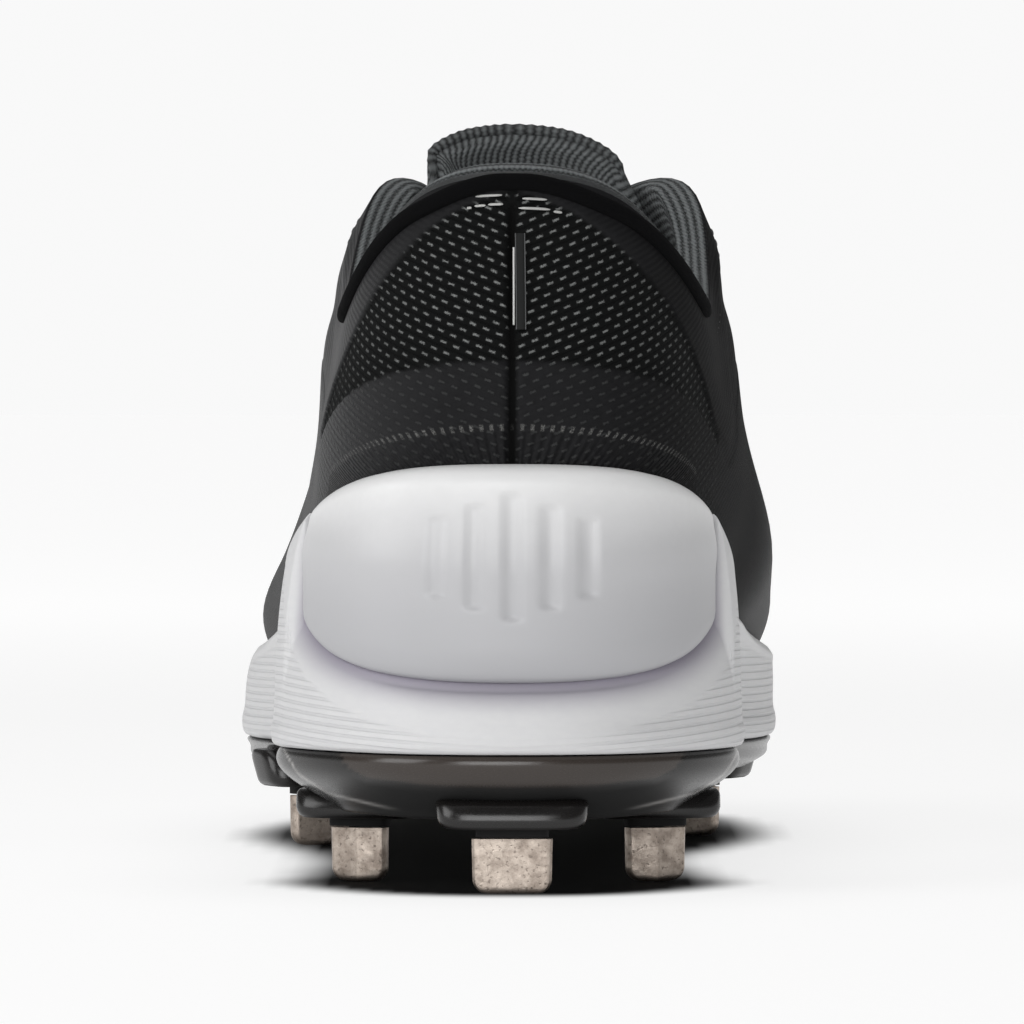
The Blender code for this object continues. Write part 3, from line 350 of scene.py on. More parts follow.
def level_at(u, height, top=0.6):
    """The v at which the last's surface reaches a height, at each u."""
    low, high = np.zeros(len(u)), np.full(len(u), top)
    for _ in range(26):
        middle = 0.5 * (low + high)
        below = last_form(u, middle)[:, 2] < height
        low = np.where(below, middle, low)
        high = np.where(below, high, middle)
    return 0.5 * (low + high)


def belly_face(u, offset):
    """The upper's widest line near the footbed, moved out by an offset in the plane."""
    level = np.full(len(u), LEVELS[1])
    flat = last_normal(u, level)
    flat[:, 2] = 0.0
    flat = unit(flat)
    return outside(u, level) + flat * np.broadcast_to(offset, (len(u),))[:, None]


def lifted(points, height):
    moved = points.copy()
    moved[:, 2] = height
    return moved


def round_shoe(spans):
    """Parameters round the shoe from (distance from the heel, spacing) pairs in millimetres, the
    same on both sides, starting at the heel."""
    fine = np.linspace(0.0, 0.5, 4001)
    belly = last_form(fine, np.full(len(fine), LEVELS[1]))
    arc = gone_along(belly) * 1000.0
    stops, start = [], 0.0
    for end, spacing in spans:
        end = min(end, arc[-1])
        stops += list(np.linspace(start, end, max(1, round((end - start) / spacing)), endpoint=False))
        start = end
    half = np.interp(stops + [arc[-1]], arc, fine)
    half[-1] = 0.5
    return np.concatenate([half, 1.0 - half[-2:0:-1]])


def profile(rings, at):
    """Rows read from a smooth curve through rings, at places counted in rings."""
    rings = np.array(rings)
    knots = np.arange(len(rings), dtype=float)
    return on_curve(knots, rings, bends_of(knots, rings, False), at, False)


# Meshes

def quads(rows, wide, closed_round=True, closed_over=False, first=0):
    """Faces of a grid of points, closed round its rows or over its columns."""
    r = np.arange(rows if closed_over else rows - 1)[:, None]
    c = np.arange(wide if closed_round else wide - 1)[None, :]
    below, right = (r + 1) % rows, (c + 1) % wide
    corners = (r * wide + c, r * wide + right, below * wide + right, below * wide + c)
    return np.stack(corners, axis=-1).reshape(-1, 4) + first


def zipped(first, wide):
    """Faces that close a ring from side to side, its points being the same on both sides."""
    half = wide // 2
    faces = [(first, first + 1, first + wide - 1)]
    faces += [(first + i, first + i + 1, first + wide - i - 1, first + wide - i)
              for i in range(1, half - 1)]
    faces.append((first + half - 1, first + half, first + half + 1))
    return faces


def shut(rows):
    """Faces of stacked rings, closed at both ends."""
    count, wide = rows.shape[:2]
    return quads(count, wide).tolist() + zipped(0, wide) + zipped(wide * (count - 1), wide)


def slab(front, back):
    """Points and faces of a closed solid between two grids of the same size."""
    rows, wide = front.shape[:2]
    shift = rows * wide
    faces = quads(rows, wide, False).tolist()
    faces += (quads(rows, wide, False)[:, ::-1] + shift).tolist()
    border = list(range(wide)) + [r * wide + wide - 1 for r in range(1, rows)]
    border += [(rows - 1) * wide + c for c in range(wide - 2, -1, -1)]
    border += [r * wide for r in range(rows - 2, 0, -1)]
    for a, b in zip(border, border[1:] + border[:1]):
        faces.append((a, b, shift + b, shift + a))
    return np.concatenate([front.reshape(-1, 3), back.reshape(-1, 3)]), faces


def tube(path, across, up, section):
    """Points and faces of a closed tube with a section of (across, up) pairs at each point."""
    section = np.asarray(section, dtype=float)
    if section.ndim == 2:
        section = np.broadcast_to(section, (len(path),) + section.shape)
    points = path[:, None, :] + across[:, None, :] * section[..., :1] + up[:, None, :] * section[..., 1:]
    wide = section.shape[1]
    faces = quads(len(path), wide).tolist()
    faces += [tuple(range(wide)), tuple(range(wide * (len(path) - 1), wide * len(path)))]
    return points.reshape(-1, 3), faces


def joined(parts):
    """Points and faces of several parts as one."""
    points, faces, start = [], [], 0
    for spots, sides in parts:
        points.append(np.asarray(spots))
        faces += [tuple(int(i) + start for i in side) for side in sides]
        start += len(spots)
    return np.concatenate(points), faces


def rounded(half_wide, half_deep, sides=12, power=0.75):
    """A section like a rounded bar."""
    angle = 2.0 * np.pi * (np.arange(sides) + 0.5) / sides
    c, s = np.cos(angle), np.sin(angle)
    return np.column_stack([half_wide * np.sign(c) * np.abs(c) ** power,
                            half_deep * np.sign(s) * np.abs(s) ** power])


def piece(name, points, faces, finishes, nodes=(), marks=None, picks=None, sharp=50.0):
    """A mesh object in the frame's place, with its finishes, its marks for them and its node."""
    mesh = bpy.data.meshes.new(name)
    moved = np.asarray(points) - np.array((CENTRE_X, 0.5 * LENGTH, 0.0))
    mesh.from_pydata(moved.tolist(), [], [tuple(face) for face in faces])
    for finish in finishes:
        mesh.materials.append(finish)
    if picks is not None:
        mesh.polygons.foreach_set("material_index", np.asarray(picks, dtype=np.int32))
    for mark, values in (marks or {}).items():
        layer = mesh.attributes.new(mark, "FLOAT", "POINT")
        layer.data.foreach_set("value", np.asarray(values, dtype=np.float32).reshape(-1))
    work = bmesh.new()
    work.from_mesh(mesh)
    bmesh.ops.recalc_face_normals(work, faces=work.faces)
    work.to_mesh(mesh)
    work.free()
    mesh.shade_smooth()
    mesh.set_sharp_from_angle(angle=math.radians(sharp))
    made = bpy.data.objects.new(name, mesh)
    bpy.context.scene.collection.objects.link(made)
    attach(made, "root")
    if nodes:
        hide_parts(*nodes)
    return made


# Materials

def hex_colour(text):
    """Linear colour of an sRGB hex value."""
    parts = [int(text[i:i + 2], 16) / 255.0 for i in (1, 3, 5)]
    return tuple(c / 12.92 if c <= 0.04045 else ((c + 0.055) / 1.055) ** 2.4 for c in parts) + (1.0,)


def add(tree, kind, feeds=None, give=0, **settings):
    """Adds a node, with its settings and what feeds it, and gives one of its outputs."""
    made = tree.nodes.new(kind)
    for name, value in settings.items():
        setattr(made, name, value)
    for key, value in (feeds or {}).items():
        if isinstance(value, bpy.types.NodeSocket):
            tree.links.new(value, made.inputs[key])
        else:
            made.inputs[key].default_value = value
    return made.outputs[give]


def finish_of(name, colour, roughness, ior=1.5, metallic=0.0):
    """A new material and its tree and shader."""
    made = bpy.data.materials.new(name)
    made.use_nodes = True
    tree = made.node_tree
    shader = tree.nodes["Principled BSDF"]
    shader.inputs["Base Color"].default_value = colour
    shader.inputs["Roughness"].default_value = roughness
    shader.inputs["IOR"].default_value = ior
    shader.inputs["Metallic"].default_value = metallic
    made.diffuse_color = colour
    return made, tree, shader


def mark(tree, name):
    """Value of a mark of the mesh."""
    return add(tree, "ShaderNodeAttribute", give=2, attribute_name=name)


def calc(tree, operation, *feeds, clamp=False):
    return add(tree, "ShaderNodeMath", dict(enumerate(feeds)), operation=operation, use_clamp=clamp)


def wave(tree, value, period, shape="SINE"):
    return calc(tree, shape, calc(tree, "MULTIPLY", value, 2.0 * math.pi / period))


def off_middle(tree, value):
    """Distance from the middle of each repeat, as a share of it."""
    return calc(tree, "ABSOLUTE", calc(tree, "SUBTRACT", calc(tree, "FRACT", value), 0.5))


def mapped(tree, value, low, high, start, end, way="LINEAR"):
    """A value's range from low to high turned into start to end."""
    feeds = {0: value, 1: low, 2: high, 3: start, 4: end}
    return add(tree, "ShaderNodeMapRange", feeds, interpolation_type=way)


def noise(tree, scale, detail, roughness=0.5, place=None):
    feeds = {"Scale": scale, "Detail": detail, "Roughness": roughness}
    if place is not None:
        feeds["Vector"] = place
    return add(tree, "ShaderNodeTexNoise", feeds)


def blend(tree, share, first, second):
    """Two colours mixed by a share, each one a node's output, a hex value or a linear colour."""
    first, second = [hex_colour(c) if isinstance(c, str) else c for c in (first, second)]
    return add(tree, "ShaderNodeMix", {0: share, 6: first, 7: second}, 2, data_type="RGBA")


def relief(tree, shader, height, strength, depth):
    """Bump of a depth in metres."""
    bump = add(tree, "ShaderNodeBump", {"Strength": strength, "Distance": depth, "Height": height})
    tree.links.new(bump, shader.inputs["Normal"])


def knitted_mesh():
    """Engineered polyester mesh, bonded film over parts of it: matt black cloth with rows of short,
    shiny, raised yarns, and film that is smoother and lighter with the cloth's relief under it.
    Painted light on it: the yarns' pale highlight, strongest near the heel's middle; pale painted
    highlights on the ticks above the cap; the film lighter on the outer side and darker on the
    inner; the seam's groove painted near black as shade."""
    sizes = bpy.context.scene.cleat_upper
    made, tree, shader = finish_of("engineered polyester mesh, film-bonded", tuple(sizes.cloth_colour), 0.8)
    row, along, film, window, painted_glint, tick, pleat, matt, pale, shade = [
        mark(tree, name) for name in ("row", "along", "film", "window", "painted_glint", "tick", "pleat", "matt",
                                      "pale", "shade")]
    # rows of yarn 1.65 mm apart, the dashes of a row 2.5 mm apart, half a step over in each next row
    uneven = noise(tree, 420.0, 1.0)
    sway = calc(tree, "SUBTRACT", uneven, 0.5)
    across = calc(tree, "MULTIPLY_ADD", sway, 0.5, row)
    across = calc(tree, "DIVIDE", across, 1.65)
    index = calc(tree, "FLOOR", across)
    odd = calc(tree, "MULTIPLY", index, 0.5)
    step = calc(tree, "MULTIPLY_ADD", along, 1.0 / 2.5, odd)
    over, down = off_middle(tree, across), off_middle(tree, step)
    thin = mapped(tree, over, 0.07, 0.19, 1.0, 0.0, "SMOOTHSTEP")
    short = mapped(tree, down, 0.17, 0.30, 1.0, 0.0, "SMOOTHSTEP")
    dash = calc(tree, "MULTIPLY", thin, short)
    dash = calc(tree, "MULTIPLY", dash, window)
    bare = calc(tree, "SUBTRACT", 1.0, film)
    # small holes of the mesh between the dashes
    hole = mapped(tree, over, 0.34, 0.46, 0.0, 1.0, "SMOOTHSTEP")
    hole = calc(tree, "MULTIPLY", hole, window)
    # painted highlight: the yarns drawn brighter near the heel's middle and higher up
    shine = calc(tree, "MULTIPLY", dash, painted_glint)
    patchy = noise(tree, 1300.0, 0.0)
    patchy = mapped(tree, patchy, 0.35, 0.65, 0.45, 1.25)
    shine = calc(tree, "MULTIPLY", shine, patchy)
    covered = calc(tree, "MULTIPLY_ADD", film, -0.72, 1.0)
    shine = calc(tree, "MULTIPLY", shine, covered, clamp=True)
    # ticks above the cap, 1.8 mm apart: pale marks painted as highlight on the pleats' crests
    near = calc(tree, "ABSOLUTE", tick)
    near = mapped(tree, near, 0.35, 0.75, 1.0, 0.0, "SMOOTHSTEP")
    beat = wave(tree, pleat, 1.8, "COSINE")
    dotted = mapped(tree, beat, 0.0, 0.7, 0.0, 1.0, "SMOOTHSTEP")
    ticks = calc(tree, "MULTIPLY", near, dotted)
    ticks = calc(tree, "MULTIPLY", ticks, painted_glint)
    chance = noise(tree, 480.0, 1.0)
    chance = mapped(tree, chance, 0.36, 0.62, 0.05, 1.0)
    ticks = calc(tree, "MULTIPLY", ticks, chance)
    # colours
    cloth = blend(tree, hole, tuple(sizes.cloth_colour), "#030404")
    film_tone = noise(tree, 60.0, 3.0)
    film_tone = blend(tree, film_tone, "#0d0d0e", tuple(sizes.film_colour))
    # painted shade: the film darker on the inner side, which this mark also makes rougher
    film_tone = blend(tree, matt, film_tone, "#09090a")
    # painted light: the film lighter on the outer side, where the light falls
    film_tone = blend(tree, pale, film_tone, "#2f2f30")
    ground = blend(tree, film, cloth, film_tone)
    lit = blend(tree, shine, ground, tuple(sizes.yarn_colour))
    # painted highlight on the pleats' crests above the cap
    lit = blend(tree, ticks, lit, "#9a9a97")
    # painted shade: near black in the seam's groove and deeper down the lining
    lit = blend(tree, shade, "#020202", lit)
    tree.links.new(lit, shader.inputs["Base Color"])
    smooth = calc(tree, "MULTIPLY_ADD", matt, 0.32, 0.48)
    rough = add(tree, "ShaderNodeMix", {0: film, 2: 0.85, 3: smooth})
    rough = add(tree, "ShaderNodeMix", {0: shine, 2: rough, 3: 0.34})
    tree.links.new(rough, shader.inputs["Roughness"])
    # relief: raised yarns, sunk holes, pleats under the ticks, a fine hatch in the film
    below = mapped(tree, tick, -1.2, -0.4, 1.0, 0.0, "SMOOTHSTEP")
    folds = calc(tree, "MULTIPLY", beat, below)
    folds = calc(tree, "MULTIPLY", folds, 0.14)
    soft = calc(tree, "MULTIPLY_ADD", film, -0.55, 1.0)
    raised = calc(tree, "MULTIPLY", dash, soft)
    raised = calc(tree, "MULTIPLY", raised, 0.42)
    sunk = calc(tree, "MULTIPLY", hole, bare)
    raised = calc(tree, "MULTIPLY_ADD", sunk, -0.22, raised)
    hatch = calc(tree, "MULTIPLY", wave(tree, row, 1.1), film)
    raised = calc(tree, "MULTIPLY_ADD", hatch, 0.035, raised)
    raised = calc(tree, "ADD", raised, folds)
    raised = calc(tree, "MULTIPLY_ADD", ticks, 0.3, raised)
    grain = noise(tree, 2600.0, 2.0)
    raised = calc(tree, "MULTIPLY_ADD", grain, 0.05, raised)
    relief(tree, shader, raised, 1.0, 0.001)
    shader.inputs["Specular IOR Level"].default_value = 0.12
    return made


def ribbed_knit():
    """Ribbed polyester knit, napped: grey ribs 1.5 mm apart made of small stitches, soft and
    a little fuzzy, with dark gaps between them."""
    sizes = bpy.context.scene.cleat_upper
    made, tree, shader = finish_of("ribbed polyester knit", tuple(sizes.knit_colour), 0.9)
    round_way = mark(tree, "along")
    down_way = mark(tree, "row")
    shade = mark(tree, "shade")
    sway = noise(tree, 300.0, 2.0)
    rib = calc(tree, "MULTIPLY_ADD", sway, 0.9, round_way)
    rib = calc(tree, "MULTIPLY", rib, 2.0 * math.pi / 1.5)
    half = calc(tree, "MULTIPLY", rib, 0.5)
    rib = calc(tree, "COSINE", rib)
    half = calc(tree, "COSINE", half)
    half = calc(tree, "GREATER_THAN", half, 0.0)
    loop = calc(tree, "MULTIPLY", down_way, 2.0 * math.pi / 0.95)
    loop = calc(tree, "MULTIPLY_ADD", half, math.pi, loop)
    loop = calc(tree, "COSINE", loop)
    height = calc(tree, "MULTIPLY", rib, 0.75)
    height = calc(tree, "MULTIPLY_ADD", loop, 0.28, height)
    fuzz = noise(tree, 2200.0, 3.0)
    mixed = calc(tree, "MULTIPLY_ADD", fuzz, 0.9, height)
    tone = mapped(tree, mixed, -0.5, 1.3, 0.0, 1.0)
    # painted shade: the lining darker the deeper it goes into the shoe
    tone = calc(tree, "MULTIPLY", tone, shade)
    colour = blend(tree, tone, "#121415", tuple(sizes.knit_colour))
    tree.links.new(colour, shader.inputs["Base Color"])
    relief(tree, shader, mixed, 1.0, 0.00022)
    shader.inputs["Specular IOR Level"].default_value = 0.12
    shader.inputs["Sheen Weight"].default_value = 0.12
    shader.inputs["Sheen Roughness"].default_value = 0.4
    return made


def brushed_binding():
    """Brushed tricot binding over foam cord: deep black, no gloss, a short soft nap."""
    made, tree, shader = finish_of("brushed tricot binding", hex_colour("#070708"), 0.95)
    nap = noise(tree, 1800.0, 4.0)
    tone = blend(tree, nap, "#030303", "#0e0e10")
    tree.links.new(tone, shader.inputs["Base Color"])
    relief(tree, shader, nap, 0.8, 0.0002)
    shader.inputs["Specular IOR Level"].default_value = 0.08
    return made


def moulded_foam():
    """Moulded EVA foam: off-white, satin skin, very fine pebble, moulded ribs where marked, their grooves
    painted a little darker as shade, and a lavender-grey painted shade in the crease under the heel cap."""
    sizes = bpy.context.scene.cleat_sole
    made, tree, shader = finish_of("moulded EVA foam", tuple(sizes.foam_colour), 0.52, 1.45)
    ribs = mark(tree, "ribs")
    rise = mark(tree, "rise")
    painted_crease_shade = mark(tree, "painted_crease_shade")
    # ribs 1.45 mm apart
    ripple = wave(tree, rise, 1.45)
    cut = mapped(tree, ripple, -1.0, 0.1, 0.0, 1.0, "SMOOTHSTEP")
    cut = calc(tree, "MULTIPLY", cut, ribs)
    groove = calc(tree, "SUBTRACT", ribs, cut)
    cloudy = noise(tree, 45.0, 3.0)
    base = blend(tree, cloudy, tuple(sizes.foam_colour), "#c7c7c9")
    # painted shade in the crease under the cap
    base = blend(tree, painted_crease_shade, base, "#8c8794")
    # painted shade in the ribs' grooves
    dark = calc(tree, "MULTIPLY", groove, 0.35)
    base = blend(tree, dark, base, "#b4b4b6")
    tree.links.new(base, shader.inputs["Base Color"])
    pebble = noise(tree, 1900.0, 2.0)
    height = calc(tree, "MULTIPLY_ADD", cut, 9.0, pebble)
    relief(tree, shader, height, 0.6, 0.00003)
    shader.inputs["Subsurface Weight"].default_value = 0.08
    shader.inputs["Subsurface Radius"].default_value = (0.002, 0.002, 0.002)
    return made


def satin_counter():
    """Moulded TPU, satin: even light grey-white with a soft wide highlight and faint flow marks,
    painted darker towards its lower edge as shade.
    """
    sizes = bpy.context.scene.cleat_sole
    made, tree, shader = finish_of("moulded TPU, satin", tuple(sizes.cap_colour), 0.40, 1.5)
    flow = noise(tree, 25.0, 2.0)
    base = blend(tree, flow, tuple(sizes.cap_colour), "#d6d6d6")
    shade = mark(tree, "shade")
    # painted shade, stronger towards the cap's lower edge
    base = blend(tree, shade, base, "#a3a3a6")
    tree.links.new(base, shader.inputs["Base Color"])
    grain = noise(tree, 2400.0, 1.0)
    rough = mapped(tree, grain, 0.3, 0.7, 0.36, 0.46)
    tree.links.new(rough, shader.inputs["Roughness"])
    relief(tree, shader, grain, 0.15, 0.00002)
    return made


def glossy_plate():
    """Moulded nylon, polished tool: black and glossy, with fine handling marks and dust that breaks
    the gloss a little."""
    sizes = bpy.context.scene.cleat_sole
    made, tree, shader = finish_of("moulded nylon, glossy", tuple(sizes.plate_colour), 0.2, 1.53)
    marks = noise(tree, 180.0, 4.0, 0.7)
    rough = mapped(tree, marks, 0.35, 0.75, 0.16, 0.34)
    tone = blend(tree, marks, tuple(sizes.plate_colour), "#1d1b1a")
    fine = noise(tree, 700.0, 2.0)
    relief(tree, shader, fine, 0.08, 0.00004)
    # the heel's middle part: a warm dark grey band of painted reflection, a thin parting line, black painted
    # shade in the recess
    band = mark(tree, "band")
    line = mark(tree, "line")
    deep = mark(tree, "deep")
    # painted reflection on the heel's middle part
    tone = blend(tree, band, tone, "#352f2b")
    tone = blend(tree, line, tone, "#040404")
    # painted shade: black in the recess and at the bosses' necks
    tone = blend(tree, deep, tone, "#020202")
    # painted highlight: a thin pale line along the plate's lower edge at the heel
    painted_lip_glint = mark(tree, "painted_lip_glint")
    tone = blend(tree, painted_lip_glint, tone, "#8d8b89")
    tree.links.new(tone, shader.inputs["Base Color"])
    rough = add(tree, "ShaderNodeMix", {0: deep, 2: rough, 3: 0.85})
    tree.links.new(rough, shader.inputs["Roughness"])
    shader.inputs["Specular IOR Level"].default_value = 0.42
    return made


def tumbled_nickel():
    """Nickel-plated steel, tumbled: warm grey, dull shine, small dents and mottling."""
    sizes = bpy.context.scene.cleat_sole
    made, tree, shader = finish_of("nickel-plated steel, tumbled", tuple(sizes.stud_colour), 0.42,
                                   metallic=1.0)
    place = add(tree, "ShaderNodeTexCoord", give=3)
    mottle = noise(tree, 420.0, 4.0, 0.65, place=place)
    spots = add(tree, "ShaderNodeTexVoronoi", {0: place, "Scale": 900.0}, 0)
    tone = mapped(tree, mottle, 0.34, 0.66, 0.0, 1.0)
    colour = blend(tree, tone, "#95897f", tuple(sizes.stud_colour))
    # pits and specks about 0.5 mm wide
    specks = noise(tree, 1500.0, 2.0, place=place)
    pits = mapped(tree, specks, 0.28, 0.42, 0.55, 0.0)
    colour = blend(tree, pits, colour, "#4a423c")
    tree.links.new(colour, shader.inputs["Base Color"])
    rough = mapped(tree, mottle, 0.3, 0.7, 0.52, 0.36)
    tree.links.new(rough, shader.inputs["Roughness"])
    height = calc(tree, "MULTIPLY_ADD", spots, 0.5, mottle)
    height = calc(tree, "MULTIPLY_ADD", pits, -0.7, height)
    relief(tree, shader, height, 0.5, 0.0001)
    return made


def woven_lace():
    """Flat woven polyester lace: black, a slight sheen, herringbone of yarns under a millimetre."""
    made, tree, shader = finish_of("flat woven polyester", hex_colour("#141416"), 0.7)
    along = mark(tree, "along")
    over = mark(tree, "row")
    sideways = calc(tree, "ABSOLUTE", over)
    slope = calc(tree, "MULTIPLY_ADD", sideways, 0.8, along)
    twill, yarn = wave(tree, slope, 0.9), wave(tree, over, 0.7)
    height = calc(tree, "MULTIPLY_ADD", yarn, 0.6, twill)
    tone = mapped(tree, height, -1.5, 1.5, 0.0, 1.0)
    colour = blend(tree, tone, "#08080a", "#2c2c2f")
    tree.links.new(colour, shader.inputs["Base Color"])
    relief(tree, shader, height, 0.9, 0.00012)
    shader.inputs["Sheen Weight"].default_value = 0.15
    return made


def insole_cloth():
    """Brushed polyester over foam: dark, matt, fine crossed weave about 1 mm."""
    made, tree, shader = finish_of("brushed polyester insole cloth", hex_colour("#1c1c1e"), 0.95)
    place = add(tree, "ShaderNodeTexCoord", give=3)
    both = calc(tree, "MULTIPLY", *[
        add(tree, "ShaderNodeTexWave", {0: place, "Scale": 320.0, "Distortion": 0.6}, 1, bands_direction=way)
        for way in "XY"])
    tone = blend(tree, both, "#101012", "#2b2b2e")
    tree.links.new(tone, shader.inputs["Base Color"])
    relief(tree, shader, both, 0.5, 0.0002)
    return made


def spun_thread():
    """Bonded polyester thread: dark grey twist with a dull shine."""
    made, tree, shader = finish_of("bonded polyester thread", hex_colour("#3a3b3c"), 0.5)
    twist = noise(tree, 3000.0, 1.0)
    tone = blend(tree, twist, "#242526", "#525354")
    tree.links.new(tone, shader.inputs["Base Color"])
    relief(tree, shader, twist, 0.4, 0.0001)
    return made


def painted_highlight_film():
    """Glossy heat-pressed film, smooth and shiny: its pale grey on the bars and the thin bead beside the
    seam is a painted highlight.
    """
    made, tree, shader = finish_of("glossy pressed film, pale as painted highlight", hex_colour("#b9b9b7"), 0.3)
    streak = noise(tree, 900.0, 2.0)
    tone = blend(tree, streak, "#4e4e4d", "#d2d2cf")
    tree.links.new(tone, shader.inputs["Base Color"])
    shader.inputs["Coat Weight"].default_value = 0.5
    return made


def dark_film():
    """Glossy heat-pressed film, dark grey: the strip beside the seam and the eyelets' rims."""
    made, tree, shader = finish_of("glossy pressed film, dark", hex_colour("#111212"), 0.7)
    streak = noise(tree, 500.0, 2.0)
    rough = mapped(tree, streak, 0.3, 0.7, 0.55, 0.75)
    tree.links.new(rough, shader.inputs["Roughness"])
    shader.inputs["Specular IOR Level"].default_value = 0.2
    return made


def studio_paper():
    """Matt studio paper: near-white, without gloss. Most of its light is its own, so that it stays
    even all round, and it is dark in the contact shadow under the sole."""
    made, tree, shader = finish_of("matt studio paper", hex_colour("#828282"), 0.9)
    contact = mark(tree, "contact")
    fibre = noise(tree, 90.0, 3.0)
    tone = blend(tree, fibre, "#818181", "#848484")
    tone = blend(tree, contact, tone, "#060606")
    tree.links.new(tone, shader.inputs["Base Color"])
    shader.inputs["Specular IOR Level"].default_value = 0.1
    # more light of its own away from the shoe
    place = add(tree, "ShaderNodeNewGeometry")
    away = add(tree, "ShaderNodeVectorMath", {0: place}, 1, operation="LENGTH")
    glow = mapped(tree, away, 0.50, 1.70, 0.785, 0.895, "SMOOTHSTEP")
    bright = calc(tree, "SUBTRACT", 1.0, contact)
    glow = calc(tree, "MULTIPLY", glow, bright)
    shader.inputs["Emission Color"].default_value = (1.0, 1.0, 1.0, 1.0)
    tree.links.new(glow, shader.inputs["Emission Strength"])
    return made


# Pieces

def places_round(u, rings):
    """Distance from the heel's middle round each ring of points, in millimetres, both sides alike."""
    steps = np.linalg.norm(np.roll(rings, -1, axis=1) - rings, axis=2)
    half = len(u) // 2
    outer = np.concatenate([np.zeros((len(rings), 1)), np.cumsum(steps[:, :half], axis=1)], axis=1)
    inner = np.cumsum(steps[:, half:][:, ::-1], axis=1)[:, ::-1]
    return np.concatenate([outer, inner[:, 1:]], axis=1) * 1000.0


# Creases of the vamp: middle and reach (of the length), depth in metres
VAMP_CREASES = ((0.655, 0.0085, 0.00115), (0.692, 0.0100, 0.00145), (0.732, 0.0090, 0.00095))
ANKLE_CREASE = 0.0009


def crease_depth(points, v):
    """Soft troughs across the vamp where the foot bends, and one behind each ankle dip."""
    x, y = points[..., 0] / LENGTH, points[..., 1] / LENGTH
    depth = np.zeros(points.shape[:-1])
    for middle, reach, deep in VAMP_CREASES:
        trough = (y - middle - 0.9 * x ** 2 + 0.10 * x) / reach
        # with a lower ridge ahead of it
        depth += deep * (np.exp(-trough ** 2) - 0.35 * np.exp(-(trough - 2.2) ** 2))
    depth *= smooth_step(0.20, 0.42, v)
    ankle = np.exp(-((y - 0.245 - 0.22 * (1.0 - v)) / 0.016) ** 2)
    ankle = ankle * smooth_step(0.45, 0.62, v) * (1.0 - smooth_step(0.84, 0.93, v))
    return depth + ANKLE_CREASE * ankle


# Width of the film border under the topline: distance from the heel's middle and width, in mm
BORDER_WIDTHS = ((0, 2.4), (10, 5.4), (21, 10.3), (31, 13.7), (40, 17), (47, 20), (55, 25), (66, 26),
                 (90, 9))
SIDE_BORDER = 8.6
# The film panels' ends on the inner and the outer side, in mm from the heel's middle
PANEL_START = (58.0, 57.0)
PANEL_END = (192.0, 178.0)
# Arches over the heel, of the film band's edge and of the line of ticks: height in the middle, in mm,
# and fall per mm squared of the distance from it
BAND_ARCH = (93.2, 0.0045)
TICK_ARCH = (81.6, 0.0042)
# Depth of the heel's seam, thickness of the panels' film and swell of the collar, in metres
SEAM_DEPTH = 0.0011
PANEL_FILM = 0.0003
COLLAR_SWELL = 0.0006
YARN_TURN = math.radians(22.0)


def arch_height(arch, arc):
    return arch[0] - arch[1] * arc ** 2


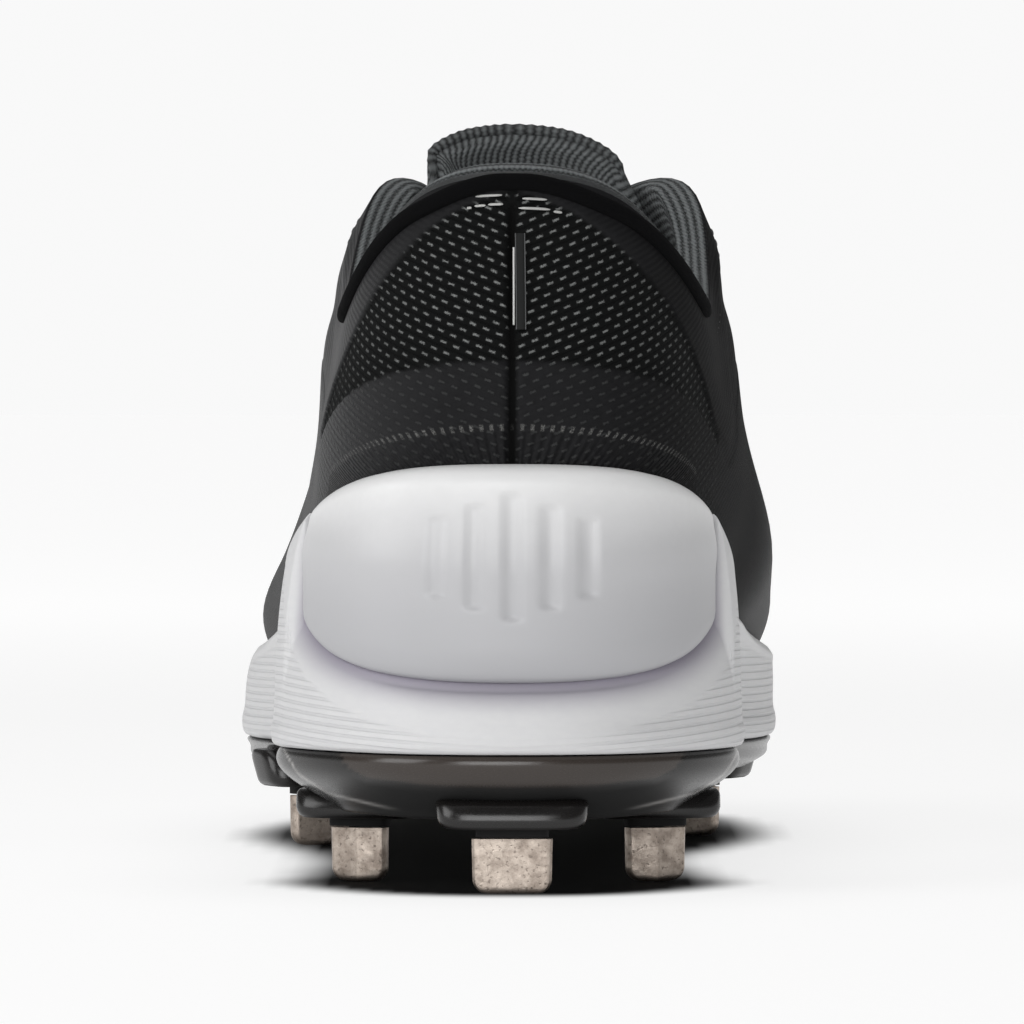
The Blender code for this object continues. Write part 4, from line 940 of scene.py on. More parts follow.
def build_upper():
    cloth, knit = knitted_mesh(), ribbed_knit()
    u = round_shoe(((3.0, 0.42), (60.0, 0.95), (400.0, 2.3)))
    wide = len(u)
    v = np.concatenate([np.linspace(0.0, 0.30, 16, endpoint=False), np.linspace(0.30, 1.0, 84)])
    grid = np.repeat(v[:, None], wide, axis=1)
    plain = last_form(u, grid)
    arc = places_round(u, plain)
    rise = plain[..., 2] * 1000.0
    top = gone_along(plain[::-1])[::-1] * 1000.0
    inner = (u > 0.5)[None, :]
    heel = 1.0 - smooth_step(62.0, 84.0, arc)
    # the film band's top edge: an arch over the heel, and then the band's level
    level = last_form(u, np.full(wide, BAND_TOP))[:, 2] * 1000.0
    arch = heel * arch_height(BAND_ARCH, arc) + (1.0 - heel) * level[None, :]
    low = 1.0 - smooth_step(-0.35, 0.35, rise - arch)
    border_width = np.interp(arc, *np.transpose(BORDER_WIDTHS))
    border_width = np.where(arc > BORDER_WIDTHS[-1][0], SIDE_BORDER, border_width)
    rim = 1.0 - smooth_step(-0.3, 0.3, top - border_width)
    # a film panel on the inner side from just ahead of the heel, and one on the outer side
    panel_edge = np.where(inner, *PANEL_START) - 0.01 * (rise - 80.0)
    panel_end = np.where(inner, *PANEL_END) - 0.55 * (rise - 70.0)
    panel = smooth_step(-0.3, 0.3, arc - panel_edge) * (1.0 - smooth_step(-0.6, 0.6, arc - panel_end))
    film = np.maximum(np.maximum(low, rim), panel)
    gutter = 1.0 - smooth_step(0.55, 0.95, arc)
    film = film * (1.0 - gutter)
    seam = np.exp(-(arc / 0.85) ** 2) * smooth_step(72.0, 76.0, rise)
    seam = seam * (1.0 - smooth_step(118.0, 121.5, rise))
    thick = np.maximum(low, rim)
    offset = FILM * thick + PANEL_FILM * panel * (1.0 - thick) - SEAM_DEPTH * seam - crease_depth(plain, grid)
    swell = np.exp(-((top - 7.5) / 5.0) ** 2) * (1.0 - smooth_step(88.0, 120.0, arc))
    offset = offset + COLLAR_SWELL * swell
    outer_rows = over_last(u, grid, offset)
    floor = along_rim(FOOTBED, u)
    outer_rows[0] = lifted(outer_rows[0], floor)
    # rim: half an ellipse over the wall, higher where the knit shows above the heel's binding
    top_in = inside(u, np.ones(wide))
    top_out = outer_rows[-1]
    way = unit(last_form(u, np.ones(wide)) - last_form(u, np.full(wide, 0.99)))
    knit_edge = 1.0 - smooth_step(0.085, 0.115, side_of(u))
    height = 0.0009 + 0.0018 * knit_edge
    rim_rows = []
    for turn in np.linspace(0.0, math.pi, 13)[1:-1]:
        middle = 0.5 * (top_out + top_in) + 0.5 * math.cos(turn) * (top_out - top_in)
        rim_rows.append(middle + way * (height * math.sin(turn) ** 0.8)[:, None])
    rim_rows = np.array(rim_rows)
    fall = np.concatenate([np.linspace(1.0, 0.55, 34), np.linspace(0.55, 0.0, 14)[1:]])
    inner_rows = inside(u, np.repeat(fall[:, None], wide, axis=1))
    inner_rows[-1] = lifted(inner_rows[-1], floor)
    rows = np.concatenate([outer_rows, rim_rows, inner_rows])
    count_out = len(outer_rows)
    faces = quads(len(rows), wide, True, True)
    picks = np.zeros((len(rows), wide), dtype=int)
    picks[count_out + 1:] = 1
    heel_knit = knit_edge > 0.3
    picks[count_out - 1:count_out + 1, heel_knit] = 1
    # marks: along and across the rows of yarn, and on the lining round and down it
    row_mark = rise * math.cos(YARN_TURN) - arc * math.sin(YARN_TURN)
    along_mark = rise * math.sin(YARN_TURN) + arc * math.cos(YARN_TURN)
    lining_arc = places_round(u, rows[count_out:])
    down = gone_along(rows[count_out:]) * 1000.0
    window = np.where(arc < 100.0, 1.0, 0.75) * (1.0 - rim) * (1.0 - panel) * (1.0 - gutter)
    # painted highlight of the yarns: strongest near the heel's middle and higher up, weak at the sides
    fade = np.exp(-(arc / 34.0) ** 2) * (0.35 + 0.65 * smooth_step(86.0, 99.0, rise))
    painted_glint = np.where(heel > 0.0, 0.16 + 0.84 * fade, 0.16)
    tick = np.where(arc < 45.0, rise - arch_height(TICK_ARCH, arc), 9.0)
    pleat = arc / (1.0 - 0.04 * np.clip(81.8 - rise, 0.0, 14.0))
    film_mark = np.where(arc < 90.0, film, np.maximum(film, low))
    zero = np.zeros_like(lining_arc)
    # painted light on the outer side's film, from near the heel's middle forward
    pale = np.where(inner, 0.0, smooth_step(8.0, 48.0, arc) * (1.0 - smooth_step(90.0, 190.0, arc)))
    # the inner side's film: rougher, and painted darker as shade
    matt = np.where(inner, smooth_step(10.0, 40.0, arc) * (1.0 - smooth_step(105.0, 165.0, arc)), 0.0)
    # painted shade: the lining darker the deeper it goes into the shoe
    shade = 0.35 + 0.65 * (1.0 - smooth_step(8.0, 34.0, down))
    # the wall's marks and those of the lining
    pairs = {"row": (row_mark, lining_arc), "along": (along_mark, down), "film": (film_mark, zero + 1.0),
             "window": (window, zero), "painted_glint": (painted_glint, zero), "tick": (tick, zero + 9.0),
             "pleat": (pleat, zero), "matt": (matt, zero), "pale": (pale, zero),
             # shade: painted shade, near black in the seam's groove on the wall, darker deeper down on the
             # lining
             "shade": (1.0 - 0.9 * gutter * (rise < 121.0), shade)}
    marks = {name: np.concatenate(both) for name, both in pairs.items()}
    piece("upper_wall", rows.reshape(-1, 3), faces, (cloth, knit), ("upper",), marks,
          picks.reshape(-1), 60.0)


def path_on_upper(u, top_gap, lift):
    """Points on the upper at distances below the topline, with the ways across and out."""
    v = np.linspace(0.5, 1.0, 200)
    spots, outs = [], []
    for at, gap in zip(u, np.broadcast_to(top_gap, (len(u),))):
        column = last_form(np.full(len(v), at), v)
        left = gone_along(column[::-1])[::-1]
        level = np.interp(gap, left[::-1], v[::-1])
        one = np.array([at])
        out = last_normal(one, np.array([level]))[0]
        spots.append(last_form(one, np.array([level]))[0] + out * (FILM + lift))
        outs.append(out)
    spots, outs = np.array(spots), np.array(outs)
    return spots, unit(np.cross(np.gradient(spots, axis=0), outs)), outs


# Pressed bars beside the heel seam: side, distance under the topline, near and far end, in metres
HEEL_BARS = (
    (1, 0.0033, 0.0016, 0.0060), (1, 0.0049, 0.0014, 0.0038), (1, 0.0050, 0.0042, 0.0060),
    (1, 0.0052, 0.0065, 0.0073), (-1, 0.0039, 0.0016, 0.0054), (-1, 0.0056, 0.0010, 0.0058),
    (-1, 0.0059, 0.0063, 0.0076),
)
# Ways round the shoe at the topline and at the cap, in metres: a length over one of them is a share
TOPLINE_ROUND = 0.475
CAP_ROUND = 0.651


def upright(away, high, low, lift):
    """Path down the heel beside its middle, between two distances under the topline."""
    return path_on_upper(away / CAP_ROUND + np.linspace(0.0, 1e-5, 30), np.linspace(high, low, 30), lift)


def build_collar():
    """Binding roll round the heel's collar, and the pressed bars and strip beside the seam."""
    u = np.linspace(-0.101, 0.1075, 230)
    away = np.abs(u)
    gap = 0.0010 + 0.0020 * smooth_step(0.004, 0.035, away)
    spots, across, outs = path_on_upper(u, gap, 0.0006)
    share = np.clip(np.minimum(u - u[0], u[-1] - u) / 0.012, 0.0, 1.0)
    size = np.sqrt(np.clip(1.0 - (1.0 - share) ** 2, 0.02, 1.0))
    section = rounded(0.0015, 0.0014, 16, 0.95)[None] * size[:, None, None]
    points, faces = tube(spots, across, outs, section)
    piece("collar_binding", points, faces, (brushed_binding(),))
    bars = []
    for side, low, near, far in HEEL_BARS:
        at = np.linspace(near, far, 12) * side
        spots, across, outs = path_on_upper(at / TOPLINE_ROUND, np.full(12, low), 0.0004)
        taper = np.sqrt(np.clip(1.0 - np.abs(np.linspace(-1.0, 1.0, 12)) ** 5, 0.12, 1.0))
        section = rounded(0.00024, 0.00020, 10)[None] * taper[:, None, None]
        bars.append(tube(spots, across, outs, section))
    # the thin upright bead beside the seam, painted pale as a highlight
    spots, across, outs = upright(-0.0003, 0.0125, 0.0262, -0.0001)
    bars.append(tube(spots, across, outs, rounded(0.00021, 0.00034, 8)))
    points, faces = joined(bars)
    piece("heel_bars", points, faces, (painted_highlight_film(),))
    spots, across, outs = upright(-0.0016, 0.0100, 0.0270, -0.0002)
    points, faces = tube(spots, across, outs, rounded(0.0009, 0.0004, 12, 0.6))
    piece("heel_strip", points, faces, (dark_film(),))
    edges = [tube(spots + across * shift + outs * 0.0003, across, outs, rounded(0.00011, 0.00012, 8))
             for shift in (-0.0008, 0.0008)]
    points, faces = joined(edges)
    piece("heel_strip_edges", points, faces, (spun_thread(),))


# Height of the foam's wings beside the cap, over the footbed, of the heel's height
WING_RISE = 0.276
# Top of the foam's ribs on the heel: distance from the middle and height, in mm
RIB_TOPS = ((0, 26.6), (16, 28.0), (25, 30.2), (32, 33.0), (37, 37.2), (39.5, 42.0), (41, 47.0))


def cap_crease(share):
    """Height of the cap's lower edge, by the share of the way from its middle to its end."""
    return HEEL_EDGE + SIDE_BAND + 0.0072 + 0.0100 * share ** 2.4


def build_midsole():
    u = round_shoe(((3.0, 0.8), (75.0, 0.75), (400.0, 1.5)))
    edges = np.array([8.10, 8.16, 8.20, 8.24, 8.28, 8.32, 8.38]) * HEEL_SHARE / HEEL_COLUMNS
    u = np.unique(np.concatenate([u, edges, 1.0 - edges]))
    wide = len(u)
    place = side_of(u) / HEEL_SHARE * HEEL_COLUMNS
    cap = 1.0 - smooth_step(8.17, 8.33, place)
    edge_z, floor_z = along_rim(EDGE, u), along_rim(FOOTBED, u)
    outer_wing = along_rim(FOOTBED + np.array([row[6] for row in SOLE]) * HEEL_HEIGHT, u)
    inner_wing = along_rim(FOOTBED + np.array(INNER_CREST) * HEEL_HEIGHT, u)
    crease = cap_crease(np.minimum(place, 8.4) / CAP_COLUMNS)
    wing = np.where(u > 0.5, inner_wing, outer_wing)
    wing = np.where(place <= HEEL_COLUMNS, floor_z + WING_RISE * HEEL_HEIGHT, wing)
    slope = np.where(u > 0.5, 0.0030, 0.0017)
    fallen = floor_z + WING_RISE * HEEL_HEIGHT - slope * np.clip(place - 8.25, 0.0, 4.2)
    wing = np.minimum(wing, fallen + 0.4 * np.maximum(0.0, wing - fallen) * smooth_step(10.0, 16.0, place))
    crest_z = cap * crease + (1.0 - cap) * wing
    wing_v = level_at(u, wing)
    gap = GAP * 0.5

    def mixed(heel, elsewhere):
        return heel * cap[:, None] + elsewhere * (1.0 - cap[:, None])

    def wing_ring(share):
        return lifted(outside(u, wing_v, gap + share * CREST_THICKNESS), wing)

    crest = mixed(lifted(belly_face(u, gap + CREST_THICKNESS), crease), wing_ring(1.0))
    band = np.minimum(SIDE_BAND, 0.45 * (crest_z - edge_z))
    shoulder = sole_ring(u, SIDE_STEP * 0.5, edge_z + band + SIDE_STEP * 0.6)
    drop = lifted(crest, crest_z - np.minimum(0.0014, 0.2 * (crest_z - edge_z)))
    side = [sole_ring(u, 0.0, edge_z + 0.0016), sole_ring(u, 0.0, edge_z + band * 0.7), shoulder]
    for out_share, up_share in ((0.14, 0.36), (0.42, 0.70), (0.74, 0.90)):
        ring = shoulder * (1.0 - out_share) + drop * out_share
        ring[:, 2] = shoulder[:, 2] * (1.0 - up_share) + drop[:, 2] * up_share
        side.append(ring)
    side.append(drop)
    side.append(mixed(lifted(belly_face(u, gap + 0.80 * CREST_THICKNESS), crease), wing_ring(0.72)))
    rows = [sole_ring(u, 0.0014, edge_z), sole_ring(u, 0.0006, edge_z + 0.0003),
            sole_ring(u, 0.0002, edge_z + 0.0008)]
    rows += list(profile(side, np.linspace(0.0, len(side) - 1.0, 46)))
    rows.append(mixed(lifted(belly_face(u, CAP_SEAT), crease), wing_ring(0.40)))
    belly = np.full(wide, LEVELS[1])
    wedge = outside(u, 0.72 * belly, gap)
    rows.append(mixed(lifted(belly_face(u, CAP_SEAT), wedge[:, 2]), wing_ring(0.15)))
    rows.append(mixed(wedge, wing_ring(0.0)))
    top = cap * 0.72 * belly + (1.0 - cap) * wing_v
    rows += [outside(u, top * share, gap) for share in (0.7, 0.35, 0.0)]
    rows[-1] = lifted(rows[-1], floor_z - GAP)
    rows = np.array(rows)
    faces = shut(rows)
    arc = places_round(u, rows)
    z = rows[..., 2] * 1000.0
    # ribs: below a curve that falls from the sides to the middle of the heel, all the side ahead of it
    x = np.abs(rows[..., 0] - 0.0003) * 1000.0
    limit = np.interp(x, *np.transpose(RIB_TOPS))
    ahead = smooth_step(0.11, 0.16, rows[..., 1] / LENGTH)
    limit = limit * (1.0 - ahead) + (crest_z * 1000.0 - 3.0)[None, :] * ahead
    ribs = (1.0 - smooth_step(-0.6, 0.6, z - limit)) * smooth_step(0.4, 1.0, z - (edge_z * 1000.0)[None, :])
    ribs *= 0.25 + 0.75 * smooth_step(6.0, 24.0, x)
    rise = z - 0.055 * np.minimum(arc, 60.0) - (edge_z * 1000.0)[None, :]
    # painted shade in the crease under the cap, fading downward
    painted_crease_shade = cap[None, :] * smooth_step(-7.0, 0.5, z - (crest_z * 1000.0)[None, :]) ** 1.3
    marks = {"ribs": ribs, "rise": rise, "painted_crease_shade": painted_crease_shade}
    piece("foam_midsole", rows.reshape(-1, 3), faces, (moulded_foam(),), ("midsole",), marks,
          sharp=40.0)


# The five flutes in the middle of the cap, in metres
FLUTE_SPACING = 0.0058
FLUTE_REACH = 0.0115
FLUTE_FALL = 0.0020
FLUTE_WIDTH = 0.0013
FLUTE_DEPTH = 0.0006
FLUTE_HEIGHT = 0.0590
# Painted shade of the cap, from its lower edge up: share of its height and strength
CAP_SHADE = ((0.0, 1.0), (0.15, 0.92), (0.30, 0.86), (0.54, 0.72), (0.78, 0.34), (0.92, 0.05), (1.0, 0.0))


def build_heel_cap():
    place = np.concatenate([np.linspace(-8.12, -7.6, 6, endpoint=False), np.linspace(-7.6, 7.6, 130),
                            np.linspace(7.6, 8.12, 7)[1:]])
    u = place * HEEL_SHARE / HEEL_COLUMNS
    share = np.minimum(1.0, np.abs(place) / CAP_COLUMNS)
    low = cap_crease(share) + GAP * 0.2
    high = CAP_TOP - (CAP_TOP - CAP_CORNER) * share ** 2.6
    widest = last_form(u, np.full(len(u), LEVELS[1]))[:, 2]
    rows = np.concatenate([np.linspace(0.0, 0.06, 6, endpoint=False), np.linspace(0.06, 0.94, 64),
                           np.linspace(0.94, 1.0, 10)[1:]])
    front, back = [], []
    for row in rows:
        height = low + (high - low) * row
        v = level_at(u, height)
        # rounded at its foot, its top and its sides
        foot, top = 1.0 - min(1.0, row / 0.16), max(0.0, (row - 0.90) / 0.10)
        round_rows = (0.42 + 0.58 * math.sqrt(1.0 - foot ** 2)) * math.sqrt(max(0.0, 1.0 - top ** 2))
        round_sides = np.sqrt(1.0 - np.clip((np.abs(place) - 7.35) / 0.80, 0.0, 1.0) ** 2)
        thick = CAP_THICKNESS * (1.0 - 0.36 * share ** 2)
        bulge = 0.0003 + (thick - 0.0003) * round_rows * round_sides
        # shallow upright flutes in the middle
        for k in (-2, -1, 0, 1, 2):
            reach = FLUTE_REACH - FLUTE_FALL * abs(k)
            across = np.exp(-((u * CAP_ROUND - k * FLUTE_SPACING) / FLUTE_WIDTH) ** 4)
            along = 1.0 - smooth_step(reach - 0.0012, reach, np.abs(height - FLUTE_HEIGHT))
            bulge = bulge - FLUTE_DEPTH * across * along
        near = 1.0 - smooth_step(0.0020, 0.0120, height - widest)
        free = outside(u, v, GAP + CAP_SEAT * near)
        skin = outside(u, v, GAP + CAP_SEAT * near + bulge)
        above = smooth_step(-0.0010, 0.0090, height - widest)[:, None]
        front.append(lifted(belly_face(u, GAP + CAP_SEAT + bulge) * (1.0 - above) + skin * above, height))
        back.append(lifted(belly_face(u, GAP + CAP_SEAT) * (1.0 - above) + free * above, height))
    points, faces = slab(np.array(front), np.array(back))
    shade = np.repeat(np.interp(rows, *np.transpose(CAP_SHADE))[:, None], len(place), axis=1)
    marks = {"shade": np.concatenate([shade, shade])}
    piece("heel_counter", points, faces, (satin_counter(),), ("heel_cap",), marks, sharp=60.0)


def plate_bottom(along):
    """Height of the plate's underside near a place along the shoe."""
    near = int(np.argmin(np.abs(COARSE_POINTS[:37, 1] - along)))
    u = COARSE[near:near + 1]
    depth = np.array([row[5] for row in SOLE]) @ np.array(PLATE_DEPTHS)
    return float((along_rim(EDGE, u) - along_rim(depth, u))[0])


def turned(flat, stud):
    """Points of a stud's own (across, along, height) in the shoe's place."""
    turn = math.radians(stud[4])
    x, y, z = flat[..., 0], flat[..., 1], flat[..., 2]
    return np.stack([stud[2] * BALL_WIDTH + x * math.cos(turn) - y * math.sin(turn),
                     stud[1] * LENGTH + x * math.sin(turn) + y * math.cos(turn), z], axis=-1)


# Inset of the plate's underside from its edge, in metres, at the stations of SOLE
BOWL = (0.017, 0.018, 0.020, 0.018, 0.014, 0.012, 0.011, 0.010, 0.009, 0.009, 0.010, 0.012, 0.012)
# The plate's heel from behind, in mm: distance from the middle and height of its seam and of its lip
PLATE_SEAM = ((0.0, 19.0), (16.0, 19.1), (25.5, 19.8), (29.0, 21.6), (30.7, 24.5), (31.5, 28.0))
PLATE_LIP = ((16.0, 13.9), (21.7, 14.5), (32.5, 16.4), (37.7, 19.7), (41.0, 24.6))
# Rings of a boss: height over its foot in metres, shares of its half width and half depth
BOSS_FOOT = ((0.0, 0.48, 0.40), (0.0014, 0.48, 0.40), (0.0015, 0.80, 0.80), (0.0016, 0.87, 0.86),
             (0.0020, 0.93, 0.91), (0.0026, 0.965, 0.94), (0.0034, 0.985, 0.955))
# Rings above them: share of the height that is left, shares of its half width and half depth
BOSS_BODY = ((0.35, 1.0, 0.96), (0.6, 1.01, 0.955), (0.76, 1.01, 0.93), (0.88, 1.0, 0.87),
             (0.96, 0.985, 0.78), (1.0, 0.96, 0.66))
BOSS_SIDES = 48


def build_plate():
    u = round_shoe(((3.0, 0.8), (75.0, 0.9), (400.0, 1.8)))
    wide = len(u)
    top = along_rim(EDGE, u) - GAP
    parts = np.array([row[5] for row in SOLE]) @ np.array(PLATE_DEPTHS)
    depth = along_rim(parts, u)
    bowl = along_rim(BOWL, u)
    heel = 1.0 - smooth_step(0.11, 0.16, side_of(u))
    rings = [sole_ring(u, inset, top - share * depth) for inset, share in (
        (0.0016, 0.0), (0.0010, 0.10), (0.0016, 0.30), (bowl * (0.22 + 0.06 * heel), 0.58),
        (bowl * (0.50 + 0.05 * heel), 0.84), (bowl * 0.66, 0.95), (bowl, 1.0))]
    rows = profile(rings, np.linspace(0.0, 6.0, 44))
    inner = [sole_ring(u, bowl + extra, top - depth + lift)
             for extra, lift in ((0.002, 0.0002), (0.006, 0.0008))]
    rows = np.concatenate([rows, np.array(inner)])
    faces = shut(rows)
    gloss = glossy_plate()
    # the seam where the heel's middle part meets the wings
    x, z = np.abs(rows[..., 0]) * 1000.0, rows[..., 2] * 1000.0
    seam = np.interp(x, *np.transpose(PLATE_SEAM))
    rear = 1.0 - smooth_step(0.035, 0.045, rows[..., 1])
    # band: painted reflection above the seam
    band = smooth_step(-0.25, 0.25, z - seam) * rear
    line = np.exp(-((z - seam) / 0.35) ** 2) * rear * smooth_step(12.0, 20.0, x)
    # deep: black painted shade in the recess below the seam
    deep = smooth_step(-0.3, 1.4, seam - z) * rear * (1.0 - smooth_step(20.0, 33.0, x))
    # painted highlight along the plate's lower edge at the heel
    painted_lip_glint = np.interp(x, *np.transpose(PLATE_LIP))
    painted_lip_glint = np.exp(-((z - painted_lip_glint) / 0.30) ** 2) * rear * smooth_step(19.0, 27.0, x)
    marks = {"band": band, "line": line, "deep": deep, "painted_lip_glint": painted_lip_glint}
    piece("sole_plate", rows.reshape(-1, 3), faces, (gloss,), ("outsole_plate",), marks,
          sharp=40.0)
    bosses, neck = [], []
    for stud in STUDS:
        lift = TOE_LIFT * stud[6]
        low = lift + STUD_HEIGHT + GAP
        high = max(plate_bottom(stud[1] * LENGTH) + 0.0040, low + 0.004)
        half_wide, half_deep = 0.5 * stud[3] + BOSS_MARGIN, 0.5 * BOSS_DEPTH
        flat_x, flat_y = rounded(half_wide, half_deep, BOSS_SIDES, 0.50).T
        body = low + BOSS_FOOT[-1][0]
        loops = [(low + up, wide, deep) for up, wide, deep in BOSS_FOOT]
        loops += [(body + (high - body) * up, wide, deep) for up, wide, deep in BOSS_BODY]
        rows = np.array([np.column_stack([flat_x * wide, flat_y * deep + 0.5 * max(0.0, z - body),
                                          np.full(BOSS_SIDES, z)]) for z, wide, deep in loops])
        faces = quads(len(rows), BOSS_SIDES).tolist()
        faces += [tuple(range(first, first + BOSS_SIDES)) for first in (0, BOSS_SIDES * (len(rows) - 1))]
        bosses.append((turned(rows.reshape(-1, 3), stud), faces))
        # the bosses' narrow necks: black painted shade
        neck.append(np.repeat([1.0] * 3 + [0.6] + [0.0] * (len(rows) - 4), BOSS_SIDES))
    points, faces = joined(bosses)
    piece("stud_bosses", points, faces, (gloss,), marks={"deep": np.concatenate(neck)},
          sharp=40.0)


# Radius of a blade's lower corners and height of its rounded foot, in metres
STUD_CORNER = 0.0026
STUD_FOOT = 0.0011


def build_studs():
    metal = tumbled_nickel()
    for stud in STUDS:
        lift, fold = TOE_LIFT * stud[6], STUD_FOLD * stud[5]
        across = np.linspace(-1.0, 1.0, 33)
        rise = np.concatenate([np.linspace(0.0, 0.35, 16, endpoint=False), np.linspace(0.35, 1.0, 8)])
        half = 0.5 * stud[3]
        front, back = [], []
        for up in rise:
            # rounded lower corners
            drop = max(0.0, STUD_CORNER - up * STUD_HEIGHT) / STUD_CORNER
            reach = (half - STUD_CORNER * (1.0 - math.sqrt(1.0 - drop ** 2))) * (0.97 + 0.03 * up)
            edge = np.clip((1.0 - np.abs(across)) / 0.13, 0.0, 1.0)
            side_round = 0.55 + 0.45 * np.sqrt(1.0 - (1.0 - edge) ** 2)
            foot = min(1.0, up * STUD_HEIGHT / STUD_FOOT)
            foot_round = 0.60 + 0.40 * math.sqrt(1.0 - (1.0 - foot) ** 2)
            deep = 0.5 * STUD_THICKNESS * side_round * foot_round
            bend = fold * np.clip(1.0 - np.abs(across) * 1.02, 0.0, 1.0) ** 0.85
            x = across * reach
            z = np.full(len(across), lift + STUD_HEIGHT * up)
            front.append(np.column_stack([x, -deep - bend, z]))
            back.append(np.column_stack([x, deep - bend, z]))
        points, faces = slab(np.array(front), np.array(back))
        piece(stud[0] + "_blade", turned(points, stud), faces, (metal,), (stud[0],), sharp=35.0)


def build_insole():
    u = round_shoe(((80.0, 2.0), (400.0, 3.0)))
    zero = np.zeros(len(u))
    low = inside(u, zero)
    flat = unit(last_normal(u, zero)[:, :2])
    floor = along_rim(FOOTBED, u)
    low[:, :2] -= flat * GAP * 2.0
    low[:, 2] = floor + GAP * 0.2
    rows = [low]
    for inset, rise in ((0.0, 0.80), (0.0004, 0.94), (0.0012, 1.0), (0.004, 0.97), (0.010, 0.94)):
        ring = low.copy()
        ring[:, :2] -= flat * inset
        ring[:, 2] = floor + INSOLE_THICKNESS * rise
        rows.append(ring)
    rows = np.array(rows)
    faces = shut(rows)
    piece("insole_board", rows.reshape(-1, 3), faces, (insole_cloth(),), ("insole",))


def wall_tree(face_of, low, high):
    u = np.linspace(0.0, 1.0, 241)[:-1]
    levels = np.linspace(low, high, 40)
    grid = face_of(u, np.repeat(levels[:, None], len(u), axis=1))
    faces = quads(len(levels), len(u))
    return BVHTree.FromPolygons([Vector(p) for p in grid.reshape(-1, 3)], faces.tolist())


def cleared(tree, point):
    """Moves a point inwards until it clears the upper's inner face."""
    need = GAP * 3.6
    spot, normal, _, distance = tree.find_nearest(Vector(point))
    if spot is None or distance > 0.02:
        return point
    way = np.array(normal)
    if np.dot(way, np.array((0.0, spot.y, 0.055)) - np.array(spot)) < 0.0:
        way = -way
    reach = point - np.array(spot)
    depth = float(np.dot(reach, way))
    slip = float(np.linalg.norm(reach - depth * way))
    return point + way * (need - depth) if slip < 0.0020 and depth < need else point


def build_tongue():
    tree = wall_tree(inside, 0.45, 1.0)
    rows = np.array(TONGUE)
    knots = np.linspace(0.0, 1.0, len(rows))
    spread = np.linspace(-1.0, 1.0, 61)
    spread = np.sign(spread) * np.abs(spread) ** 0.85
    # rounded top corners: the outer columns end a little lower
    beyond = np.clip((np.abs(spread) - 0.35) / 0.65, 0.0, 1.0)
    short = 1.0 - np.where(spread < 0.0, 0.19, 0.17) * beyond ** 1.6
    at = np.linspace(0.0, 1.0, 72)[:, None] * short[None, :]
    fine = on_curve(knots, rows, bends_of(knots, rows, False), at.reshape(-1), False).reshape(at.shape + (6,))
    bed = np.interp(fine[..., 0], [row[0] for row in SOLE], FOOTBED)
    half = np.where(spread[None, :] < 0.0, fine[..., 2], fine[..., 3]) * BALL_WIDTH
    front = np.stack([spread[None, :] * half,
                      fine[..., 0] * LENGTH - fine[..., 5] * INSTEP_HEIGHT * spread[None, :] ** 2,
                      bed + INSTEP_HEIGHT * (fine[..., 1] - fine[..., 4] * spread[None, :] ** 2)],
                     axis=-1)
    base = front.copy()
    for _ in range(3):
        for r in range(front.shape[0]):
            for c in range(front.shape[1]):
                front[r, c] = cleared(tree, front[r, c])
        moved = front - base
        for _ in range(5):
            padded = np.pad(moved, ((1, 1), (1, 1), (0, 0)), mode="edge")
            moved = 0.2 * (padded[1:-1, 1:-1] + padded[:-2, 1:-1] + padded[2:, 1:-1]
                           + padded[1:-1, :-2] + padded[1:-1, 2:])
        front = base + moved
    down, over = np.gradient(front, axis=0), np.gradient(front, axis=1)
    normal = unit(np.cross(over, down))
    normal = np.where(normal[..., 1:].sum(axis=-1, keepdims=True) < 0.0, -normal, normal)
    edge = np.sqrt(1.0 - np.clip((np.abs(spread) - 0.82) / 0.19, 0.0, 1.0) ** 2)
    ends = np.minimum(np.arange(len(fine)), np.arange(len(fine))[::-1]) / 7.0
    ends = np.sqrt(1.0 - (1.0 - np.minimum(1.0, ends)) ** 2)
    shape = (0.08 + 0.92 * edge)[None, :] * (0.15 + 0.85 * ends)[:, None]
    depth = TONGUE_THICKNESS * shape
    round_mm, down_mm = gone_along(front, 1) * 1000.0, gone_along(front) * 1000.0
    # the padded front side sinks a little at its rounded edges
    face = front - normal * (0.5 * (TONGUE_THICKNESS - depth) * 0.7)[..., None]
    back = front - normal * (0.5 * (TONGUE_THICKNESS - depth) * 0.7 + depth)[..., None]
    points, faces = slab(face, back)
    marks = {"along": np.concatenate([round_mm, round_mm]), "row": np.concatenate([down_mm, down_mm]),
             "shade": np.ones(len(points))}
    tongue = piece("padded_tongue", points, faces, (ribbed_knit(),), ("tongue",), marks,
                   sharp=70.0)
    # knitted bead along the tongue's top edge
    last = front.shape[0] - 1
    path = 0.5 * (face[last] + back[last])
    bead = path[5:-5] + np.array((0.0, 0.0, 0.0004))
    out = normal[last, 5:-5]
    up = unit(np.cross(np.gradient(bead, axis=0), out))
    lump = 1.0 + 0.10 * np.cos(np.arange(len(bead)) * math.pi)
    ends = np.sqrt(np.clip(1.0 - np.abs(np.linspace(-1.0, 1.0, len(bead))) ** 8, 0.05, 1.0))
    section = rounded(0.0010, 0.0011, 12, 0.95)[None] * (lump * ends)[:, None, None]
    points, faces = tube(bead, up, out, section)
    marks = {"along": np.repeat(np.arange(len(bead)) * 0.9, 12),
             "row": np.tile(np.arange(12) * 0.5, len(bead)),
             "shade": np.ones(len(points))}
    piece("tongue_edge", points, faces, (bpy.data.materials["ribbed polyester knit"],),
          marks=marks)


def throat_point(side, along, v, lift):
    """Place over the throat's border at a distance along the shoe, and the normal there."""
    fine = np.linspace(0.20, 0.5, 160)
    u = fine if side < 0 else 1.0 - fine
    y = last_form(u, np.full(len(u), v))[:, 1]
    at = np.array([np.interp(along, y, u)])
    level = np.array([v])
    return outside(at, level, lift)[0], last_normal(at, level)[0]


